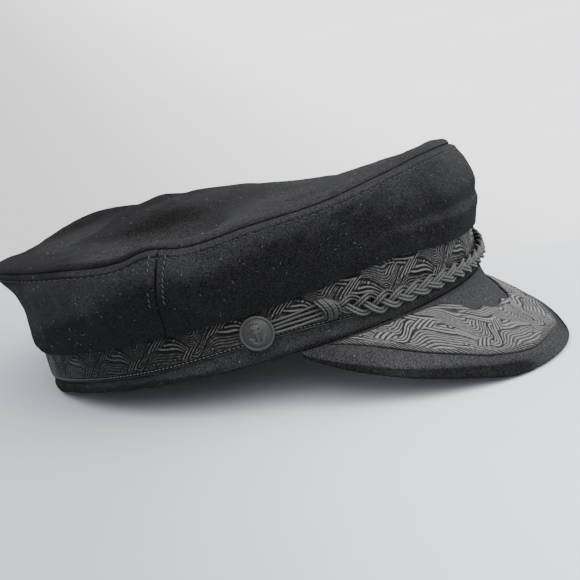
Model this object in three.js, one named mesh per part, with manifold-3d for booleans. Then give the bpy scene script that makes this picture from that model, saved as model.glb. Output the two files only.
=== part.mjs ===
// A soft skipper cap of black wool cloth, in millimetres, +Z up, the peak towards -Y.
//
// Everything is drawn in the frame of the headband: its lower edge lies at z = 0 and its
// centre on the Z axis. The last group tips the whole cap nose up about the rear of the band,
// so that it stands on the rim of its peak and on the back of its band, as it does on a table.
// An angle on the cap is counted from the middle of the front, positive towards +X.

import * as THREE from 'three';
import Module from 'manifold-3d';
import { mergeVertices } from 'three/addons/utils/BufferGeometryUtils.js';

const RAD = Math.PI / 180;
const GAP = 0.3;

// Headband
const BAND_LENGTH = 208;
const BAND_WIDTH = 174.8;
const BAND_HEIGHT = 28;
const BAND_WALL = 2.4;
const HALF_LENGTH = BAND_LENGTH / 2;
const HALF_WIDTH = BAND_WIDTH / 2;

// How the cap stands
const TIP_ANGLE = 9.53;
const REST_FLAT_FROM = 152;
const REST_FLAT_FADE = 128;
const BOX_SHIFT = 7.7;

// Crown
const CLOTH = 1.6;
const FOLD_TUCK = 1.2;
const SEAM_AT_FOLD = 87;
const SEAM_AT_TOP = 80.3;
const SEAM_GAP = 0.2;
const FRONT_COLUMNS = 28;
const BACK_COLUMNS = 32;
const RING_COLUMNS = 60;
const TOP_CENTRE_Y = 4.5;
const TOP_CENTRE_Z = 54;
const TOP_FADE = 0.12;
const TOP_ROLL = 1.3;
const TOP_ROLL_AT = 0.93;
const TOP_ROLL_HALF = 0.05;

// Peak
const PEAK_HALF_ANGLE = 59.2;
const PEAK_REACH = 32.9;
const PEAK_DROP = 40.6;
const PEAK_WALL = 2.6;
const RIM_LIFT = 2.1;
const PEAK_HOLLOW = 11.9;
const PEAK_HOLLOW_FADE = 0.6;
const PEAK_SWELL = 3;
const PEAK_SWELL_AT = 1.8;
const PEAK_BEND = [0, -0.75, 0.66];
const PEAK_TWIST = 1.1;
const PEAK_FAR_DROP = 3;
const PEAK_END = 87.5;
const PEAK_COLUMNS = 40;
const RIM_POWER = 0.88;
const RIM_FLAT_HALF = 28;

// Ribbon, cords and buttons
const RIBBON = 0.7;
const RIBBON_TOP = 26;
const BUTTON_ANGLE = 66;
const BUTTON_Z = 13.3;
const BUTTON_RADIUS = 7.4;
const BUTTON_OUT = 2.7;
const BRAID_HALF_ANGLE = 45.4;
const BRAID_OUT = 3.2;
const KNOT_ANGLE = 48.7;
const KNOT_Z = 14.1;

// The crown's side wall, outer face. For each angle: the height of the lower fold and of the
// top seam, and how far the cloth stands out from the band at six levels from fold to seam.
const SIDE_LEVELS = [0, 0.07, 0.26, 0.48, 0.71, 0.9, 1];
const SIDE_COLUMNS = ['angle', 'fold', 'out1', 'out2', 'out3', 'out4', 'out5', 'out6', 'seam'];
const SIDE_TABLE = [
  [-180, 18.6, 3.7, 3.6, 3.0, 4.4, 9.6, 11.0, 55.4],
  [-152, 18.8, 3.7, 3.2, 1.6, 3.6, 10.0, 11.4, 58.9],
  [-128, 19.2, 3.9, 4.8, 6.2, 8.8, 11.4, 11.8, 59.9],
  [-108, 20.0, 4.2, 7.2, 10.8, 12.8, 12.6, 11.0, 58.7],
  [-90, 20.8, 4.6, 8.4, 12.2, 13.6, 12.2, 10.2, 57.0],
  [-83, 21.0, 4.8, 8.6, 12.4, 13.4, 12.0, 10.2, 59.1],
  [-76, 21.2, 4.9, 9.0, 12.8, 13.6, 11.6, 9.8, 56.6],
  [-60, 22.0, 4.9, 8.2, 10.6, 11.8, 11.2, 9.4, 57.4],
  [-44, 24.0, 4.9, 7.2, 8.8, 10.0, 9.8, 8.2, 57.1],
  [-28, 24.6, 5.1, 7.0, 8.2, 8.4, 7.6, 5.8, 58.7],
  [-10, 20.6, 5.4, 7.0, 8.4, 7.0, 4.8, 2.9, 59.2],
  [10, 19.4, 5.6, 7.2, 8.4, 6.4, 4.0, 2.2, 57.0],
  [28, 21.6, 5.4, 7.4, 8.8, 7.9, 5.8, 4.0, 53.2],
  [44, 22.0, 5.0, 7.4, 9.6, 10.0, 9.0, 7.4, 48.6],
  [60, 21.6, 4.9, 7.8, 10.8, 12.0, 11.8, 10.4, 44.6],
  [80, 21.0, 4.9, 8.2, 11.4, 13.5, 13.9, 12.9, 39.8],
  [92, 20.8, 4.8, 8.0, 11.2, 13.6, 14.4, 13.4, 41.2],
  [108, 20.2, 4.4, 7.0, 10.0, 12.6, 14.4, 13.3, 46.2],
  [130, 19.4, 4.0, 5.4, 7.0, 9.4, 13.0, 12.4, 51.6],
  [154, 19.0, 3.7, 4.2, 4.8, 6.4, 11.0, 11.4, 59.6],
];

// Swells and dents of the top: centre, half widths, height and sharpness of the edge of each.
const TOP_COLUMNS = ['x', 'y', 'halfX', 'halfY', 'height', 'edge'];
const TOP_TABLE = [
  [-4, 18, 34, 46, 9.0, 2],
  [12, 50, 24, 16, 4.0, 2],
  [-64, 8, 34, 34, -7.0, 4],
  [-48, -60, 16, 20, -4.2, 2.5],
  [62, -35, 38, 25, -8.0, 2],
  [62, 60, 30, 30, -3.0, 2],
];

// Height of the ribbon's lower edge round one half of the band, from the front.
const RIBBON_COLUMNS = ['angle', 'low'];
const RIBBON_TABLE = [[0, 4.8], [20, 5.4], [45, 6.8], [60, 8.6], [70, 8.0], [90, 6.1], [120, 5.5], [180, 4.8]];

// Height of the middle of the plait from the front to the knot.
const BRAID_COLUMNS = ['angle', 'height'];
const BRAID_TABLE = [[0, 6.8], [10, 7.3], [20, 8.0], [30, 8.5], [37, 9.6], [42, 11.6], [46, 13.0]];

const wasm = await Module();
wasm.setup();

const WOOL = { color: 0x0f1012, roughness: 0.95, metalness: 0 };
const JACQUARD = { color: 0x1a1b1c, roughness: 0.6, metalness: 0 };
const CORD = { color: 0x1e1f1d, roughness: 0.5, metalness: 0 };
const METAL = { color: 0x2b2d30, roughness: 0.55, metalness: 0.6 };

function clamp(value, low, high) {
  return Math.min(high, Math.max(low, value));
}

function smooth(from, to, value) {
  const t = clamp((value - from) / (to - from), 0, 1);
  return t * t * (3 - 2 * t);
}

// Cubic through the rows of a table, with slopes taken from both neighbours of each row.
function cubic(knots, values, at) {
  const last = knots.length - 1;
  const slope = (k) => {
    const a = Math.max(k - 1, 0);
    const b = Math.min(k + 1, last);
    if (b - a < 2) {
      return (values[b] - values[a]) / (knots[b] - knots[a]);
    }
    const before = knots[k] - knots[a];
    const after = knots[b] - knots[k];
    const rise = (values[k] - values[a]) / before;
    const fall = (values[b] - values[k]) / after;
    return (rise * after + fall * before) / (before + after);
  };
  let i = 0;
  while (i < last - 1 && at > knots[i + 1]) {
    i += 1;
  }
  const step = knots[i + 1] - knots[i];
  const t = clamp((at - knots[i]) / step, 0, 1);
  const t2 = t * t;
  const t3 = t2 * t;
  return (2 * t3 - 3 * t2 + 1) * values[i] + (t3 - 2 * t2 + t) * step * slope(i)
    + (3 * t2 - 2 * t3) * values[i + 1] + (t3 - t2) * step * slope(i + 1);
}

function column(table, columns, name) {
  return table.map((row) => row[columns.indexOf(name)]);
}

// Reads one column of the side table all the way round.
function sideValue(name, angle) {
  const turn = 360;
  const a = ((angle + 180) % turn + turn) % turn - 180;
  const angles = column(SIDE_TABLE, SIDE_COLUMNS, 'angle');
  const values = column(SIDE_TABLE, SIDE_COLUMNS, name);
  const n = angles.length;
  const knots = [...angles.slice(-2).map((k) => k - turn), ...angles, angles[0] + turn, angles[1] + turn];
  const looped = [...values.slice(n - 2), ...values, values[0], values[1]];
  return cubic(knots, looped, a);
}

// A point that stands out from the band's oval by a distance along its normal.
function bandPoint(angle, out, z) {
  const s = Math.sin(angle * RAD);
  const c = Math.cos(angle * RAD);
  const nx = s / HALF_WIDTH;
  const ny = -c / HALF_LENGTH;
  const n = Math.hypot(nx, ny);
  return new THREE.Vector3(HALF_WIDTH * s + out * nx / n, -HALF_LENGTH * c + out * ny / n, z);
}

// Height of the table under a point of the tipped cap, in the band's frame.
function tableHeight(y) {
  return -(HALF_LENGTH - y) * Math.tan(TIP_ANGLE * RAD);
}

// How far the lower edge of the back sags below the band's plane, so that it lies on the table.
function restSag(angle) {
  const y = -HALF_LENGTH * Math.cos(angle * RAD);
  return -tableHeight(y) * smooth(REST_FLAT_FADE, REST_FLAT_FROM, Math.abs(angle));
}

// Closed body from sections: each is a loop of points, counter-clockwise seen from its start.
// In an open run, point k of a loop faces point count - 1 - k, and ladders close both ends.
function sweep(sections, closed) {
  const count = sections[0].length;
  const rows = sections.length;
  const positions = sections.flat().flatMap((p) => [p.x, p.y, p.z]);
  const index = [];
  const at = (i, k) => (i % rows) * count + (k % count);
  const runs = closed ? rows : rows - 1;
  for (let i = 0; i < runs; i += 1) {
    for (let k = 0; k < count; k += 1) {
      index.push(at(i, k), at(i + 1, k), at(i + 1, k + 1));
      index.push(at(i, k), at(i + 1, k + 1), at(i, k + 1));
    }
  }
  if (!closed) {
    for (let k = 0; k < count / 2 - 1; k += 1) {
      const m = count - 1 - k;
      index.push(at(0, k), at(0, k + 1), at(0, m - 1), at(0, k), at(0, m - 1), at(0, m));
      const e = rows - 1;
      index.push(at(e, k), at(e, m - 1), at(e, k + 1), at(e, k), at(e, m), at(e, m - 1));
    }
  }
  return indexed(positions, index);
}

// Closed round body from rings that run from its lower pole, round its edge, to its upper pole.
function lid(lower, rings, upper) {
  const count = rings[0].length;
  const points = [lower, upper, ...rings.flat()];
  const index = [];
  const at = (r, i) => 2 + r * count + (i % count);
  for (let i = 0; i < count; i += 1) {
    index.push(0, at(0, i + 1), at(0, i));
    for (let r = 0; r < rings.length - 1; r += 1) {
      index.push(at(r, i), at(r, i + 1), at(r + 1, i + 1));
      index.push(at(r, i), at(r + 1, i + 1), at(r + 1, i));
    }
    index.push(1, at(rings.length - 1, i), at(rings.length - 1, i + 1));
  }
  return indexed(points.flatMap((p) => [p.x, p.y, p.z]), index);
}

function indexed(positions, index) {
  const geometry = new THREE.BufferGeometry();
  geometry.setAttribute('position', new THREE.Float32BufferAttribute(positions, 3));
  geometry.setIndex(index);
  geometry.computeVertexNormals();
  return geometry;
}

function mesh(name, geometry, look) {
  const piece = new THREE.Mesh(geometry, new THREE.MeshStandardMaterial(look));
  piece.name = name;
  return piece;
}

function steps(from, to, count) {
  return Array.from({ length: count + 1 }, (_, i) => from + (to - from) * i / count);
}

// Outer and inner point of the crown's side wall at an angle and a level from fold to seam.
function sidePoints(angle, level) {
  const outs = [1, 2, 3, 4, 5, 6].map((k) => sideValue(`out${k}`, angle));
  const out = cubic(SIDE_LEVELS, [outs[0] - FOLD_TUCK, ...outs], level);
  const fold = sideValue('fold', angle);
  const z = fold + (sideValue('seam', angle) - fold) * level;
  const wall = level === 0 ? CLOTH * 0.6 : CLOTH;
  return [bandPoint(angle, out, z), bandPoint(angle, out - wall, z)];
}

// Half the angle that the front panel spans, and the back panel, at a level of the wall.
function halfFront(level) {
  return SEAM_AT_FOLD + (SEAM_AT_TOP - SEAM_AT_FOLD) * level - SEAM_GAP / 2;
}

function halfBack(level) {
  return 180 - halfFront(level) - SEAM_GAP;
}

// One side panel of the crown: a curved wall from one side seam to the other.
function crownPanel(name, middle, half, columns) {
  const levels = [0, 0.03, 0.09, 0.2, 0.36, 0.52, 0.68, 0.82, 0.93, 1];
  const sections = steps(-1, 1, columns).map((u) => {
    const pairs = levels.map((level) => sidePoints(middle + u * half(level), level));
    return [...pairs.map((pair) => pair[0]), ...pairs.map((pair) => pair[1]).reverse()];
  });
  return mesh(name, sweep(sections, false), WOOL);
}

// Height of the top cloth over a point of the plan; ratio runs from the centre to the seam.
function topHeight(x, y, ratio, seam) {
  const bowl = TOP_CENTRE_Z + (seam - TOP_CENTRE_Z) * ratio ** 2;
  const fade = 1 - Math.exp(-(((1 - ratio) / TOP_FADE) ** 2));
  const roll = TOP_ROLL * Math.exp(-(((ratio - TOP_ROLL_AT) / TOP_ROLL_HALF) ** 2));
  return TOP_TABLE.reduce((z, row) => {
    const [cx, cy, halfX, halfY, height, edge] = TOP_COLUMNS.map((name) => row[TOP_COLUMNS.indexOf(name)]);
    const away = ((x - cx) / halfX) ** 2 + ((y - cy) / halfY) ** 2;
    return z + fade * height * Math.exp(-(away ** edge));
  }, bowl + roll);
}

// The top panel: a round body of cloth whose rolled edge lies on the side panels' upper edge.
function crownTop() {
  const ratios = [0.28, 0.52, 0.72, 0.86, 0.95, 0.982];
  const angles = [
    ...steps(-1, 1, FRONT_COLUMNS).map((u) => u * halfFront(1)),
    ...steps(-1, 1, BACK_COLUMNS).map((u) => 180 + u * halfBack(1)),
  ];
  const roll = 1 / 100;
  const ring = (ratio, lift) => angles.map((angle) => {
    const seam = sideValue('seam', angle) + GAP;
    const edge = bandPoint(angle, sideValue('out6', angle), 0);
    const x = edge.x * ratio;
    const y = TOP_CENTRE_Y + (edge.y - TOP_CENTRE_Y) * ratio;
    return new THREE.Vector3(x, y, topHeight(x, y, ratio, seam) + lift);
  });
  const rings = [
    ...ratios.map((ratio) => ring(ratio, 0)),
    ring(1 - roll, 0),
    ring(1, CLOTH * 0.35),
    ring(1 - roll, CLOTH * 0.9),
    ...ratios.map((ratio) => ring(ratio, CLOTH)).reverse(),
  ];
  const centre = topHeight(0, TOP_CENTRE_Y, 0, TOP_CENTRE_Z);
  const pole = (lift) => new THREE.Vector3(0, TOP_CENTRE_Y, centre + lift);
  return mesh('crown_top', lid(pole(0), rings, pole(CLOTH)), WOOL);
}

// The headband: a ring of cloth whose back sags flat onto the table.
function headband() {
  const sections = steps(-180, 180, RING_COLUMNS).slice(0, -1).map((angle) => {
    const low = -restSag(angle);
    return [
      bandPoint(angle, 0, low), bandPoint(angle, 0, BAND_HEIGHT),
      bandPoint(angle, -BAND_WALL, BAND_HEIGHT), bandPoint(angle, -BAND_WALL, low + restLean(angle)),
    ];
  });
  return mesh('headband', sweep(sections, true), WOOL);
}

// Lowers the band's inner edge where it lies on the table, so that its underside is level there.
function restLean(angle) {
  const rest = smooth(REST_FLAT_FADE, REST_FLAT_FROM, Math.abs(angle));
  const outer = bandPoint(angle, 0, 0);
  const inner = bandPoint(angle, -BAND_WALL, 0);
  return (inner.y - outer.y) * Math.tan(TIP_ANGLE * RAD) * rest;
}

// The patterned ribbon round the band.
function bandRibbon() {
  const angles = column(RIBBON_TABLE, RIBBON_COLUMNS, 'angle');
  const lows = column(RIBBON_TABLE, RIBBON_COLUMNS, 'low');
  const inner = GAP * 0.5;
  const sections = steps(-180, 180, RING_COLUMNS).slice(0, -1).map((angle) => {
    const low = cubic(angles, lows, Math.abs(angle));
    return [
      bandPoint(angle, RIBBON, low), bandPoint(angle, RIBBON, RIBBON_TOP),
      bandPoint(angle, inner, RIBBON_TOP), bandPoint(angle, inner, low),
    ];
  });
  return mesh('band_ribbon', sweep(sections, true), JACQUARD);
}

// Point of the peak's upper face: s turns round the rim from corner to corner, v runs from the
// band to the rim. The face drops from the band, hollow beyond it, more so on the far side,
// and swells again before the rim, which stands level in the middle.
function peakPoint(s, v) {
  const cs = Math.cos(s * RAD);
  const width = HALF_WIDTH * Math.sin(PEAK_HALF_ANGLE * RAD);
  const back = HALF_LENGTH * Math.cos(PEAK_HALF_ANGLE * RAD);
  const root = bandPoint(s * PEAK_HALF_ANGLE / 90, 0, -GAP);
  const x = width * Math.sin(s * RAD);
  const y = -(back + (PEAK_REACH + HALF_LENGTH - back) * cs);
  const free = -PEAK_DROP * cs ** RIM_POWER;
  const flat = 1 - smooth(RIM_FLAT_HALF * 0.8, RIM_FLAT_HALF * 1.8, Math.abs(x));
  const lift = RIM_LIFT - PEAK_FAR_DROP * smooth(10, 60, s);
  const rim = new THREE.Vector3(x, y, free + (tableHeight(y) - free) * flat - GAP + lift * cs);
  const near = 1 - PEAK_TWIST * (1 - smooth(-50, 10, s));
  const hollow = PEAK_HOLLOW * near * Math.sin(Math.PI * v) * (1 - v) ** PEAK_HOLLOW_FADE;
  const bend = (PEAK_SWELL * Math.sin(Math.PI * v ** PEAK_SWELL_AT) - hollow) * cs;
  return root.lerp(rim, v).addScaledVector(new THREE.Vector3(...PEAK_BEND), bend);
}

// Unit normal of the peak's upper face, from two short steps on it.
function peakNormal(s, v) {
  const step = 0.01;
  const v0 = Math.min(v, 1 - step);
  const here = peakPoint(s, v0);
  const along = peakPoint(s + 1, v0).sub(peakPoint(s - 1, v0));
  const down = peakPoint(s, v0 + step).sub(here);
  return along.cross(down).negate().normalize();
}

// The peak's board, thinnest at the band and rounded at the rim.
function peak() {
  const spans = [0, 0.1, 0.2, 0.31, 0.43, 0.55, 0.67, 0.79, 0.89, 0.97];
  const sections = steps(-PEAK_END, PEAK_END, PEAK_COLUMNS).map((s) => {
    const below = (v, depth) => {
      const point = peakPoint(s, v).addScaledVector(peakNormal(s, v), -depth);
      point.z = Math.max(point.z, tableHeight(point.y));
      return point;
    };
    const upper = spans.map((v) => peakPoint(s, v));
    const lower = spans.map((v) => below(v, PEAK_WALL));
    return [...upper, below(1, PEAK_WALL * 0.35), below(1, PEAK_WALL * 0.75), ...lower.reverse()].reverse();
  });
  return mesh('peak', sweep(sections, false), WOOL);
}

const CREST_COLUMNS = ['turn', 'inner', 'outer'];
const CREST_TABLE = [
  [-78, 0.02, 0.05], [-68, 0.02, 0.3], [-58, 0.02, 0.52], [-50, 0.02, 0.65], [-42, 0.02, 0.72], [-34, 0.03, 0.77],
  [-26, 0.06, 0.79], [-19, 0.12, 0.82], [-12, 0.2, 0.84], [-4, 0.25, 0.83], [6, 0.28, 0.83], [16, 0.33, 0.84],
  [27, 0.38, 0.8], [38, 0.4, 0.75], [48, 0.34, 0.67], [58, 0.16, 0.52], [66, 0.05, 0.34], [78, 0.02, 0.05],
];

// The crescent of ribbon on the peak, scalloped along its inner edge.
function peakRibbon() {
  const turns = column(CREST_TABLE, CREST_COLUMNS, 'turn');
  const inner = column(CREST_TABLE, CREST_COLUMNS, 'inner');
  const outer = column(CREST_TABLE, CREST_COLUMNS, 'outer');
  const lobes = 7;
  const step = 2 * PEAK_END / PEAK_COLUMNS;
  const end = PEAK_END - 2 * step;
  const sections = steps(-end, end, PEAK_COLUMNS - 4).map((s) => {
    const plain = cubic(turns, inner, s);
    const from = plain + 0.03 * Math.cos(s * RAD * lobes * 2) * smooth(0.08, 0.2, plain);
    const to = cubic(turns, outer, s);
    const spans = steps(from, to, 5);
    const lift = (v, height) => peakPoint(s, v).addScaledVector(peakNormal(s, v), height);
    const upper = spans.map((v) => lift(v, GAP + RIBBON));
    const lower = spans.map((v) => lift(v, GAP));
    return [...upper, ...lower.reverse()].reverse();
  });
  return mesh('peak_ribbon', sweep(sections, false), JACQUARD);
}

// Frame on the band: a centre with its directions along the band, up and outwards.
function bandFrame(angle, out, z) {
  const centre = bandPoint(angle, out, z);
  const outward = bandPoint(angle, out + 1, z).sub(centre).normalize();
  const up = new THREE.Vector3(0, 0, 1);
  const along = up.clone().cross(outward).normalize();
  return { centre, along, up, outward };
}

function inFrame(frame, along, up, outward) {
  return frame.centre.clone().addScaledVector(frame.along, along)
    .addScaledVector(frame.up, up).addScaledVector(frame.outward, outward);
}

// The plait: the outline round three strands that cross each other, carried along the band.
function braid() {
  const angles = column(BRAID_TABLE, BRAID_COLUMNS, 'angle');
  const heights = column(BRAID_TABLE, BRAID_COLUMNS, 'height');
  const around = 10;
  const crossings = 13;
  const strand = 1.4;
  const swing = 2.3;
  const depth = 0.7;
  const sections = steps(-BRAID_HALF_ANGLE, BRAID_HALF_ANGLE, 62).map((angle, i, all) => {
    const frame = bandFrame(angle, BRAID_OUT, cubic(angles, heights, Math.abs(angle)));
    const phase = i / (all.length - 1) * crossings * Math.PI;
    const centres = [0, 1, 2].map((k) => {
      const p = phase + k * Math.PI * 2 / 3;
      return { up: swing * Math.sin(p), out: depth * Math.sin(2 * p) };
    });
    return steps(360, 0, around).slice(0, -1).map((turn) => {
      const du = Math.cos(turn * RAD);
      const dn = Math.sin(turn * RAD);
      const reach = Math.max(...centres.map((c) => {
        const ahead = c.up * du + c.out * dn;
        const beside = c.out * du - c.up * dn;
        const miss = strand ** 2 - beside ** 2;
        return miss > 0 ? ahead + Math.sqrt(miss) : 0.8;
      }));
      return inFrame(frame, 0, reach * du, clamp(reach * dn, GAP + RIBBON + 0.1 - BRAID_OUT, 2));
    });
  });
  return mesh('braid', sweep(sections, false), CORD);
}

// The flat run of parallel cords between a knot and its button.
function strands(name, side) {
  const from = { angle: 50.9, z: 14.0, half: 2.6 };
  const to = { angle: 64.2, z: 13.2, half: 2.2 };
  const thick = 1.2;
  const low = GAP + RIBBON + 0.1;
  const sections = steps(0, 1, 8).map((u) => {
    const t = side > 0 ? u : 1 - u;
    const angle = side * (from.angle + (to.angle - from.angle) * t);
    const z = from.z + (to.z - from.z) * t;
    const half = from.half + (to.half - from.half) * t;
    const rows = steps(-1, 1, 8);
    const ripple = (r) => thick - 0.35 * Math.abs(Math.sin(r * Math.PI * 2));
    return [
      ...rows.map((r) => bandPoint(angle, low + ripple(r), z + r * half)),
      ...rows.map((r) => bandPoint(angle, low, z + r * half)).reverse(),
    ];
  });
  return mesh(name, sweep(sections, false), CORD);
}

// The wound knot: a barrel along the band with a groove beside each of its turns.
function knot(name, side) {
  const length = 3.6;
  const height = 4;
  const deep = 1.9;
  const turns = 3;
  const frame = bandFrame(side * KNOT_ANGLE, BRAID_OUT, KNOT_Z);
  const around = 12;
  const stations = steps(-0.88, 0.88, 12);
  const rings = stations.map((u) => {
    const barrel = Math.sqrt(1 - u * u) * (1 - 0.1 * Math.abs(Math.sin(u * Math.PI * turns / 2)));
    return steps(0, 360, around).slice(0, -1).map((turn) => inFrame(
      frame, u * length, height * barrel * Math.cos(turn * RAD), deep * barrel * Math.sin(turn * RAD),
    ));
  });
  const pole = (u) => inFrame(frame, u * length, 0, 0);
  return mesh(name, lid(pole(-0.95), rings, pole(0.95)), CORD);
}

// Turns a three.js geometry into a solid that can be joined with others.
function solid(geometry) {
  const bare = geometry.clone();
  bare.deleteAttribute('normal');
  bare.deleteAttribute('uv');
  const merged = mergeVertices(bare, 1e-4);
  const index = merged.index.array;
  return new wasm.Manifold(new wasm.Mesh({
    numProp: 3,
    vertProperties: new Float32Array(merged.attributes.position.array),
    triVerts: new Uint32Array(index),
  }));
}

// The raised anchor under a crown, as flat shapes in the plane of the button.
function anchorShapes() {
  const bar = (x, y, w, h) => {
    const shape = new THREE.Shape();
    shape.moveTo(x - w / 2, y - h / 2);
    shape.lineTo(x + w / 2, y - h / 2);
    shape.lineTo(x + w / 2, y + h / 2);
    shape.lineTo(x - w / 2, y + h / 2);
    shape.closePath();
    return shape;
  };
  const shank = bar(0, -0.6, 0.8, 5.2);
  const stock = bar(0, 1.1, 3.2, 0.7);
  const arms = new THREE.Shape();
  arms.absarc(0, -0.6, 3, 200 * RAD, 340 * RAD, false);
  arms.absarc(0, -0.2, 2.3, 335 * RAD, 205 * RAD, true);
  arms.closePath();
  const crown = new THREE.Shape();
  const crownBase = 2.1;
  crown.moveTo(-1.4, crownBase);
  crown.lineTo(1.4, crownBase);
  crown.lineTo(1.9, crownBase + 2);
  crown.lineTo(0.8, crownBase + 1.2);
  crown.lineTo(0, crownBase + 2.3);
  crown.lineTo(-0.8, crownBase + 1.2);
  crown.lineTo(-1.9, crownBase + 2);
  crown.closePath();
  return [shank, stock, arms, crown];
}

// Side button: a shallow dome with a rim on a short shank, with its anchor raised on the face.
function button(name, side) {
  const rim = 0.9;
  const dome = 2.5;
  const profile = [
    [0, RIBBON + GAP + 0.1 - BUTTON_OUT], [1.9, RIBBON + GAP + 0.1 - BUTTON_OUT], [1.9, 0],
    [BUTTON_RADIUS - 0.5, 0], [BUTTON_RADIUS, 0.4], [BUTTON_RADIUS, rim], [BUTTON_RADIUS - 0.7, rim + 0.4],
    [BUTTON_RADIUS - 1.1, rim + 0.1], [4.6, dome - 0.75], [2.4, dome - 0.2], [0, dome],
  ].map(([r, h]) => new THREE.Vector2(r, h));
  const body = solid(new THREE.LatheGeometry(profile, 20).rotateX(Math.PI / 2));
  const raised = anchorShapes().map((shape) => solid(new THREE.ExtrudeGeometry(shape, {
    depth: dome + 0.35, bevelEnabled: false, curveSegments: 4,
  })));
  const joined = raised.reduce((all, one) => all.add(one), body).getMesh();
  const geometry = indexed(Array.from(joined.vertProperties), Array.from(joined.triVerts));
  const piece = mesh(name, geometry, METAL);
  const frame = bandFrame(side * BUTTON_ANGLE, BUTTON_OUT, BUTTON_Z);
  const basis = new THREE.Matrix4().makeBasis(frame.along, frame.up, frame.outward);
  piece.setRotationFromMatrix(basis);
  piece.position.copy(frame.centre);
  return piece;
}

const cap = new THREE.Group();
cap.add(
  crownTop(),
  crownPanel('crown_front', 0, halfFront, FRONT_COLUMNS),
  crownPanel('crown_back', 180, halfBack, BACK_COLUMNS),
  headband(),
  bandRibbon(),
  peak(),
  peakRibbon(),
  braid(),
);
[['left', 1], ['right', -1]].forEach(([word, side]) => {
  cap.add(knot(`knot_${word}`, side), strands(`strands_${word}`, side), button(`button_${word}`, side));
});

cap.rotation.x = -TIP_ANGLE * RAD;
cap.position.y = HALF_LENGTH * (1 - Math.cos(TIP_ANGLE * RAD)) + BOX_SHIFT;
cap.position.z = HALF_LENGTH * Math.sin(TIP_ANGLE * RAD);

const group = new THREE.Group();
group.add(cap);

export default group;
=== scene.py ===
"""A soft skipper cap of black wool cloth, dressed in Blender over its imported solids.

Every surface is drawn in millimetres in the frame of the headband: its lower edge lies at
z = 0 and its centre on the Z axis, with the peak towards -Y. settle() tips the whole cap nose
up about the rear of the band, as it lies on a table, and turns millimetres into metres. An
angle on the cap is counted in degrees from the middle of the front, positive towards +X.
"""

import math

import bpy
import numpy as np
from mathutils import Matrix, Vector


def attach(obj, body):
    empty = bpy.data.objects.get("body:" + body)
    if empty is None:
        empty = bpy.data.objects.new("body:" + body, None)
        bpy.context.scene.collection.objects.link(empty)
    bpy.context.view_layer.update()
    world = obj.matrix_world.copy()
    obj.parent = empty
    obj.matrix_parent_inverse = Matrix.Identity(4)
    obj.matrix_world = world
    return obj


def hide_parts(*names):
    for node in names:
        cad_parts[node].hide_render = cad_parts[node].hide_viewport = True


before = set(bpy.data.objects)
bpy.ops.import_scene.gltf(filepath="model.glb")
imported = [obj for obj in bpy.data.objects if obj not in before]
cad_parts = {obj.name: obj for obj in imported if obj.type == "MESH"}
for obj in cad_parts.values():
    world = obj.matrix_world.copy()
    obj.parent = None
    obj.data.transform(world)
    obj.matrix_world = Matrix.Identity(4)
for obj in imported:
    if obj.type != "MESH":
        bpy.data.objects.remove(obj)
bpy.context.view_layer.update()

bl_info = {
    "name": "Skipper cap",
    "version": (1, 0, 0),
    "blender": (4, 5, 0),
    "location": "3D View > Sidebar > Cap",
    "description": "Makes a soft wool skipper cap with its ribbons, plaited cord and buttons",
    "category": "Object",
}

# Headband, in millimetres
HALF_LENGTH = 104.0
HALF_WIDTH = 87.4
BAND_HEIGHT = 28.0
BAND_WALL = 2.4
TIP = math.radians(9.53)
REST_FLAT_FROM = 152.0
REST_FLAT_FADE = 128.0
BOX_SHIFT = 7.7
GAP = 0.3

# Crown
CLOTH = 1.6
FOLD_TUCK = 1.2
SEAM_AT_FOLD = 87.0
SEAM_AT_TOP = 80.3
SEAM_GAP = 0.1
TOP_CENTRE_Y = 4.5
TOP_CENTRE_Z = 54.0
TOP_FADE = 0.12
TOP_INSET = 0.9
COLUMNS_CROWD = 1.15
SIDE_SEAM_ROLL = 0.7
TOP_SEAM_ROLL = 2.4
TOP_EDGE_ROLL = 2.8
THINNEST = 0.25

# Peak
PEAK_HALF_ANGLE = 59.2
PEAK_REACH = 32.9
PEAK_DROP = 40.6
PEAK_WALL = 2.6
PEAK_HOLLOW = 11.9
PEAK_HOLLOW_FADE = 0.6
PEAK_SWELL = 3.0
PEAK_SWELL_AT = 1.8
PEAK_BEND = (0, -0.75, 0.66)
PEAK_TWIST = 1.1
PEAK_TWIST_TURN = (-50, 10)
PEAK_FAR_DROP = 3.0
PEAK_FAR_TURN = (10, 60)
PEAK_PAINTED_LIGHT = 0.97
RIM_LIFT = 2.1
RIM_POWER = 0.88
RIM_FLAT_HALF = 28.0
PEAK_END = 87.5
CREST_END = 77.5

# Ribbon, cords and buttons
SIDES = (("left", 1), ("right", -1))
RIBBON_TOP = 26.0
RIBBON_BASE = 0.5
RIBBON_BACK = 0.12
BAND_REPEATS = 21
BUTTON_ANGLE = 66.0
BUTTON_Z = 13.3
BUTTON_OUT = 2.7
DOME_RADIUS = 5.95
BRAID_OUT = 3.2
BRAID_CROSSINGS = 13
BRAID_SWING = 2.3
BRAID_DEPTH = 0.95
BRAID_END = 47.2
KNOT_ANGLE = 48.7
KNOT_Z = 14.1
KNOT_TURNS = 2.8
KNOT_LENGTH = 6.4
KNOT_TALL = 4.7
KNOT_DEEP = 2.25
STRANDS_FROM = 49.4
STRANDS_TO = 65.6
STRAND_SHARE = 0.92

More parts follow.
